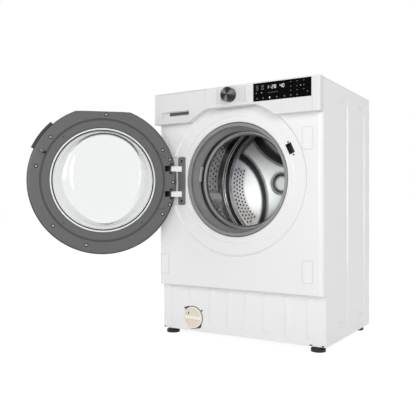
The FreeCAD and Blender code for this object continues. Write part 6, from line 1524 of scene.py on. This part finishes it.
@dataclass
class Drum:
    """The pierced wall of the drum and its rolled seams."""

    wall_radius: float = 238.7
    wall_thickness: float = 0.6
    front_setback: float = 106.6
    back_setback: float = 401.4
    field_front: float = 122.0
    field_back: float = 316.0
    columns: int = 76
    rows: int = 10
    hole_radius: float = 4.4
    dimple: float = 0.5
    weld: float = 0.25
    wall_crisp: float = 50.0
    rim_slack: float = 0.01
    seam_steps: int = 128
    bead_root: float = 238.5
    bead_side: float = 237.5
    bead_crest: float = 237.2
    bead_foot: float = 0.5

    # Rolled beads on the wall as (front, back), and the fold where the wall meets the back.
    BEADS = ((360.0, 366.0), (374.0, 381.0))
    FOLD = ((221.0, 401.6), (222.5, 399.4), (226.0, 398.4), (229.5, 399.4), (231.0, 401.6))

    # Rings of painted shade in the gaps between the beads.
    PAINTED_SHADE_RINGS = (((238.5, 367.0), (238.0, 367.0), (238.0, 373.0), (238.5, 373.0)),
            ((238.5, 382.5), (238.0, 382.5), (238.0, 398.0), (233.0, 401.2), (233.0, 401.6), (238.5, 401.6)))

    def cell(self, form: Form, half_width: float, half_length: float) -> None:
        """Make one pierced cell of the wall, with its dimpled hole in the middle.

        Args:
            form: Shape to add to.
            half_width, half_length: Half of the cell round the drum and along it.
        """
        bm = form.bm
        sides = [(1, 0), (1, 1), (0, 1), (-1, 1), (-1, 0), (-1, -1), (0, -1), (1, -1)]
        outer = [bm.verts.new((self.wall_radius, u * half_width, v * half_length)) for u, v in sides]
        angles = [index * math.pi / 4 for index in range(len(sides))]
        inner = [bm.verts.new((self.wall_radius + self.dimple, self.hole_radius * math.cos(angle),
                               self.hole_radius * math.sin(angle))) for angle in angles]
        loops = [bm.edges.new((ring[i - 1], ring[i])) for ring in (outer, inner) for i in range(len(sides))]
        bmesh.ops.bridge_loops(bm, edges=loops)
        bmesh.ops.translate(bm, vec=(0.0, 0.0, -(self.field_front + half_length)), verts=bm.verts[:])

    def pierced_wall(self) -> None:
        """Make the wall: one pierced cell, repeated along the drum and round it, with plain ends."""
        form = Form()
        bm = form.bm
        pitch = (self.field_back - self.field_front) / self.rows
        self.cell(form, self.wall_radius * math.tan(math.pi / self.columns), pitch / 2)
        cell = form.everything()
        half_step = Matrix.Rotation(math.pi / self.columns, 4, "Z")
        for row in range(1, self.rows):
            verts = only(bmesh.ops.duplicate(bm, geom=cell)["geom"], bmesh.types.BMVert)
            bmesh.ops.translate(bm, vec=(0.0, 0.0, -row * pitch), verts=verts)
            if row % 2:
                bmesh.ops.transform(bm, matrix=half_step, verts=verts)
        bmesh.ops.spin(bm, geom=form.everything(), cent=(0, 0, 0), axis=(0, 0, 1), angle=FULL_TURN,
                       steps=self.columns, use_duplicate=True)
        bmesh.ops.remove_doubles(bm, verts=bm.verts[:], dist=self.weld)
        for rim, end in ((self.field_front, self.front_setback), (self.field_back, self.back_setback)):
            edges = [edge for edge in bm.edges if edge.is_boundary
                     and all(abs(vert.co.z + rim) < self.rim_slack for vert in edge.verts)]
            grown = bmesh.ops.extrude_edge_only(bm, edges=edges)["geom"]
            bmesh.ops.translate(bm, vec=(0.0, 0.0, rim - end), verts=only(grown, bmesh.types.BMVert))
        form.thicken(self.wall_thickness)
        made = form.piece("drum_wall", DRUM_WALL, Body.DRUM, from_front(0, 0, AXIS_Z),
                          sharp=self.wall_crisp)
        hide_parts("drum_shell")

    def seams(self) -> None:
        """Make the rolled beads where the wall meets the back, and dark rings of painted shade in the gaps
        between them.
        """
        root, side, crest, foot = self.bead_root, self.bead_side, self.bead_crest, self.bead_foot
        beads = [((root, front - foot), (side, front), (crest, (front + back) / 2), (side, back),
                  (root, back + foot)) for front, back in self.BEADS]
        place = from_front(0, 0, AXIS_Z)
        for name, sections, finish in (("drum_seam", (*beads, self.FOLD), DRUM_SEAM),
                                       ("drum_seam_painted_shade", self.PAINTED_SHADE_RINGS, BLACKED_STEEL_AND_PAINTED_SHADE)):
            rings(name, sections, finish, Body.DRUM, place, "drum_stainless", self.seam_steps)

    def build(self) -> None:
        """Make the wall and the seams of the drum."""
        self.pierced_wall()
        self.seams()


@dataclass
class Lower:
    """Small fixings of the plinth with painted shade in its slots, and lines of painted shade in the gaps
    round the covers of the hinge pads.
    """

    plinth_setback: float = 57.0
    panel_setback: float = 28.0
    slot_height: float = 0.2
    pad_half: tuple[float, float] = (15.5, 32.5)
    pad_corner: float = 6.0
    pad_gap: float = 0.2
    pad_line: float = 2.0
    pad_height: float = 0.1

    # Screws beside the filter cap as (x, z), with the radius and height of their heads.
    SCREWS = ((-209.5, 91.0), (-141.5, 86.0))
    HEAD = (3.0, 1.2)

    # Slots along the foot of the plinth as (x, width), and their height above the floor.
    SLOTS = ((-293.0, 5.0), (250.0, 9.0), (288.0, 8.0))
    SLOT_UP = (16.0, 20.0)

    def fixings(self) -> None:
        """Make the screws of the plinth, and dark patches of painted shade in its slots."""
        place = from_front(0, self.plinth_setback, 0)
        screws("plinth_screws", self.SCREWS, self.HEAD, BLACKED_STEEL_AND_PAINTED_SHADE, Body.CABINET, place)
        form = Form()
        for x, width in self.SLOTS:
            form.block((x - width / 2, x + width / 2), self.SLOT_UP, self.slot_height)
        form.piece("plinth_slot_shade", PAINTED_SHADE_DARK, Body.CABINET, place)

    def pads(self) -> None:
        """Draw a pale grey line of painted shade in the fine gap round the four covers of the furniture-hinge
        pads.
        """
        low, high = (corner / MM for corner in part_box("hinge_blanking_covers"))
        across, up = self.pad_half
        edge = self.pad_gap + self.pad_line
        form = Form()
        for x in (low.x + across, high.x - across):
            for z in (low.z + up, high.z - up):
                form.frame(x, z, (across + edge, up + edge), self.pad_corner, self.pad_line, self.pad_height)
        form.piece("pad_gap_shade", PAINTED_GAP_SHADE, Body.CABINET, from_front(0, self.panel_setback, 0))

    def build(self) -> None:
        """Make the fixings and the lines of painted shade round the covers."""
        self.fixings()
        self.pads()


@dataclass
class Rear:
    """Fixings of the rear sheet and its service cover."""

    edge_x: float = 286.0
    top_x: float = 95.0
    top_z: float = 806.0
    cover_radius: float = 159.0
    cover_screws: int = 6
    cover_start: float = 30.0
    cover_sheet: float = 1.5

    # Heights of the screws along the upright edges, and the radius and height of their heads.
    HEIGHTS = (60.0, 245.0, 430.0, 615.0, 800.0)
    HEAD = (4.0, 1.8)

    def build(self) -> None:
        """Make the screws round the sheet and the cover."""
        sheet = [(x, z) for x in (-self.edge_x, self.edge_x) for z in self.HEIGHTS]
        sheet += [(-self.top_x, self.top_z), (self.top_x, self.top_z)]
        screws("rear_sheet_screws", sheet, self.HEAD, BRIGHT_STEEL, Body.CABINET, from_back(0, DEPTH, 0))
        start, step = math.radians(self.cover_start), FULL_TURN / self.cover_screws
        turns = [start + index * step for index in range(self.cover_screws)]
        cover = [(self.cover_radius * math.cos(turn), self.cover_radius * math.sin(turn)) for turn in turns]
        screws("rear_cover_screws", cover, self.HEAD, BRIGHT_STEEL, Body.CABINET,
               from_back(0, DEPTH + self.cover_sheet, AXIS_Z))


@dataclass
class Flexible:
    """Hoses and sleeved springs between cabinet and tub, copied in place of their solids."""

    weld: float = 0.000001

    # Each node with its slot and the heights at which it belongs wholly to the cabinet and to the tub.
    RUNS = (("fill_hose", "hose_grey", 714.0, 688.0), ("sump_hose", "hose_grey", 100.0, 215.0),
            ("suspension_springs", "spring_sleeve", 790.0, 650.0))

    def build(self, nodes: dict[str, bpy.types.Object]) -> None:
        """Make a copy of each run in place of its solid.

        Args:
            nodes: Objects of the loaded frame by name.
        """
        for node, slot, fixed, moving in self.RUNS:
            form = Form()
            form.bm.from_mesh(nodes[node].data)
            made = form.bare(node + "_bending", FINISHES[slot], Matrix.Identity(4), weld=self.weld)
            give(made, node)


@dataclass
class Lamp:
    """A soft box, which polished surfaces and glass may or may not mirror."""

    name: str
    place: Point
    size: float
    power: float
    beam: float = 180.0
    tall: float = 0.0
    mirrored: bool = True

    def build(self, target: Vector) -> None:
        """Make the lamp.

        Args:
            target: The point it is turned to, in metres.
        """
        light = bpy.data.lights.new(self.name, "AREA")
        light.shape = "ELLIPSE"
        light.size = self.size
        light.size_y = self.tall or self.size
        light.energy = self.power
        light.spread = math.radians(self.beam)
        made = bpy.data.objects.new(self.name, light)
        made.location = self.place
        made.visible_glossy = self.mirrored
        made.visible_transmission = self.mirrored
        made.rotation_mode = "QUATERNION"
        made.rotation_quaternion = (target - Vector(self.place)).to_track_quat("-Z", "Y")
        bpy.context.scene.collection.objects.link(made)


@dataclass
class Studio:
    """White sweep, soft light and the camera of the photograph."""

    eye: Point = (0.9155, -1.8591, 0.4327)
    azimuth: float = 31.9
    lens: float = 50.4
    sensor: float = 36.0
    floor_half: float = 30.0
    floor_glow: float = 1.11
    floor_share: float = 0.86
    sky: float = 0.35
    middle: Point = (0.0, 0.0, 0.45)
    mouth_setback: float = 95.0

    WHITE = (1.0, 1.0, 1.0)
    FLOOR_TINT = (0.9, 0.9, 0.9)

    # Lamps turned to the middle of the machine, and the narrow one that looks into the drum.
    LAMPS = (Lamp("key", (1.85, -2.66, 1.5), 1.6, 39.5, mirrored=False),
             Lamp("fill", (-2.7, -1.5, 1.2), 1.6, 14.0),
             Lamp("front", (0.2, -3.2, 0.8), 1.2, 15.0),
             Lamp("top", (0.2, 0.2, 3.0), 1.6, 9.0, mirrored=False),
             Lamp("strip", (3.29, -0.22, 0.45), 0.36, 10.0, tall=2.2),
             Lamp("rear", (-0.9, 2.6, 2.3), 1.6, 24.0, mirrored=False))
    DRUM_LAMP = Lamp("drum", (0.816, -2.405, 0.775), 0.10, 0.19, 6.4)

    def camera(self) -> None:
        """Make the camera."""
        data = bpy.data.cameras.new("viewpoint")
        data.lens = self.lens
        data.sensor_width = self.sensor
        made = bpy.data.objects.new("viewpoint", data)
        made.location = self.eye
        made.rotation_euler = (math.pi / 2, 0.0, math.radians(self.azimuth))
        bpy.context.scene.collection.objects.link(made)
        bpy.context.scene.camera = made

    def seen_directly(self, shader: Shader) -> Number:
        """Tell rays that show the background: straight, mirrored or through glass.

        Args:
            shader: The tree to add the test to.

        Returns:
            1 for such rays and 0 for the rest.
        """
        path = shader.node("LightPath").outputs
        kinds = ("Is Camera Ray", "Is Glossy Ray", "Is Transmission Ray")
        looks, mirror, through = (Number(shader, path[kind]) for kind in kinds)
        return looks.highest(mirror).highest(through)

    def floor(self) -> None:
        """Make the white floor, which keeps a soft shadow."""
        material = bpy.data.materials.new("studio_floor")
        shader = Shader(material)
        plain = shader.link("BsdfDiffuse", None, {"Color": self.FLOOR_TINT})
        glow = shader.link("Emission", None, {"Color": self.WHITE, "Strength": self.floor_glow})
        share = self.seen_directly(shader) * self.floor_share
        both = shader.link("MixShader", None, {0: share, 1: plain, 2: glow})
        shader.node("OutputMaterial", None, {"Surface": both})
        bm = bmesh.new()
        bmesh.ops.create_grid(bm, x_segments=2, y_segments=2, size=self.floor_half)
        mesh = bpy.data.meshes.new("studio_floor")
        bm.to_mesh(mesh)
        bm.free()
        mesh.materials.append(material)
        made = bpy.data.objects.new("studio_floor", mesh)
        bpy.context.scene.collection.objects.link(made)

    def world(self) -> None:
        """Make the white surroundings."""
        world = bpy.data.worlds.new("studio")
        bpy.context.scene.world = world
        shader = Shader(world)
        level = self.sky + (1.0 - self.sky) * self.seen_directly(shader)
        glow = shader.link("Background", None, {"Color": self.WHITE, "Strength": level})
        shader.node("OutputWorld", None, {"Surface": glow})

    def build(self) -> None:
        """Set up camera, floor, surroundings and lamps."""
        self.camera()
        self.floor()
        self.world()
        for lamp in self.LAMPS:
            lamp.build(Vector(self.middle))
        self.DRUM_LAMP.build(Vector((0.0, FRONT_Y + self.mouth_setback, AXIS_Z)) * MM)
        bpy.context.scene.view_settings.view_transform = "Standard"


def dress_frame(frame: dict) -> None:
    """Give every solid of the frame its own finish or the one of its material slot.

    Args:
        frame: The loaded frame.
    """
    slots = {part["node"]: part["material_slot"] for part in frame["record"]["subparts"]}
    for name, node in frame["nodes"].items():
        slot = slots[name]
        node.data.materials.clear()
        if name in NODE_FINISHES:
            node.data.materials.append(NODE_FINISHES[name].material(name + "_finish"))
        else:
            node.data.materials.append(FINISHES[slot].material(slot + "_finish"))
        LOG.info("%s: %s", name, slot)


def corners(box: tuple[Vector, Vector]) -> list[list[float]]:
    """Return the two corners of a box as plain numbers."""
    return [[float(value) for value in corner] for corner in box]


def main() -> None:
    """Dress the machine and light it."""
    logging.basicConfig(level=logging.INFO, format="%(name)s: %(message)s")
    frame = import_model()
    Studio().build()
    dress_frame(frame)
    for assembly in (Fascia(), Mouth(), Porthole(), Drum(), Lower(), Rear()):
        assembly.build()
    Flexible().build(frame["nodes"])


if __name__ == "__main__":
    main()
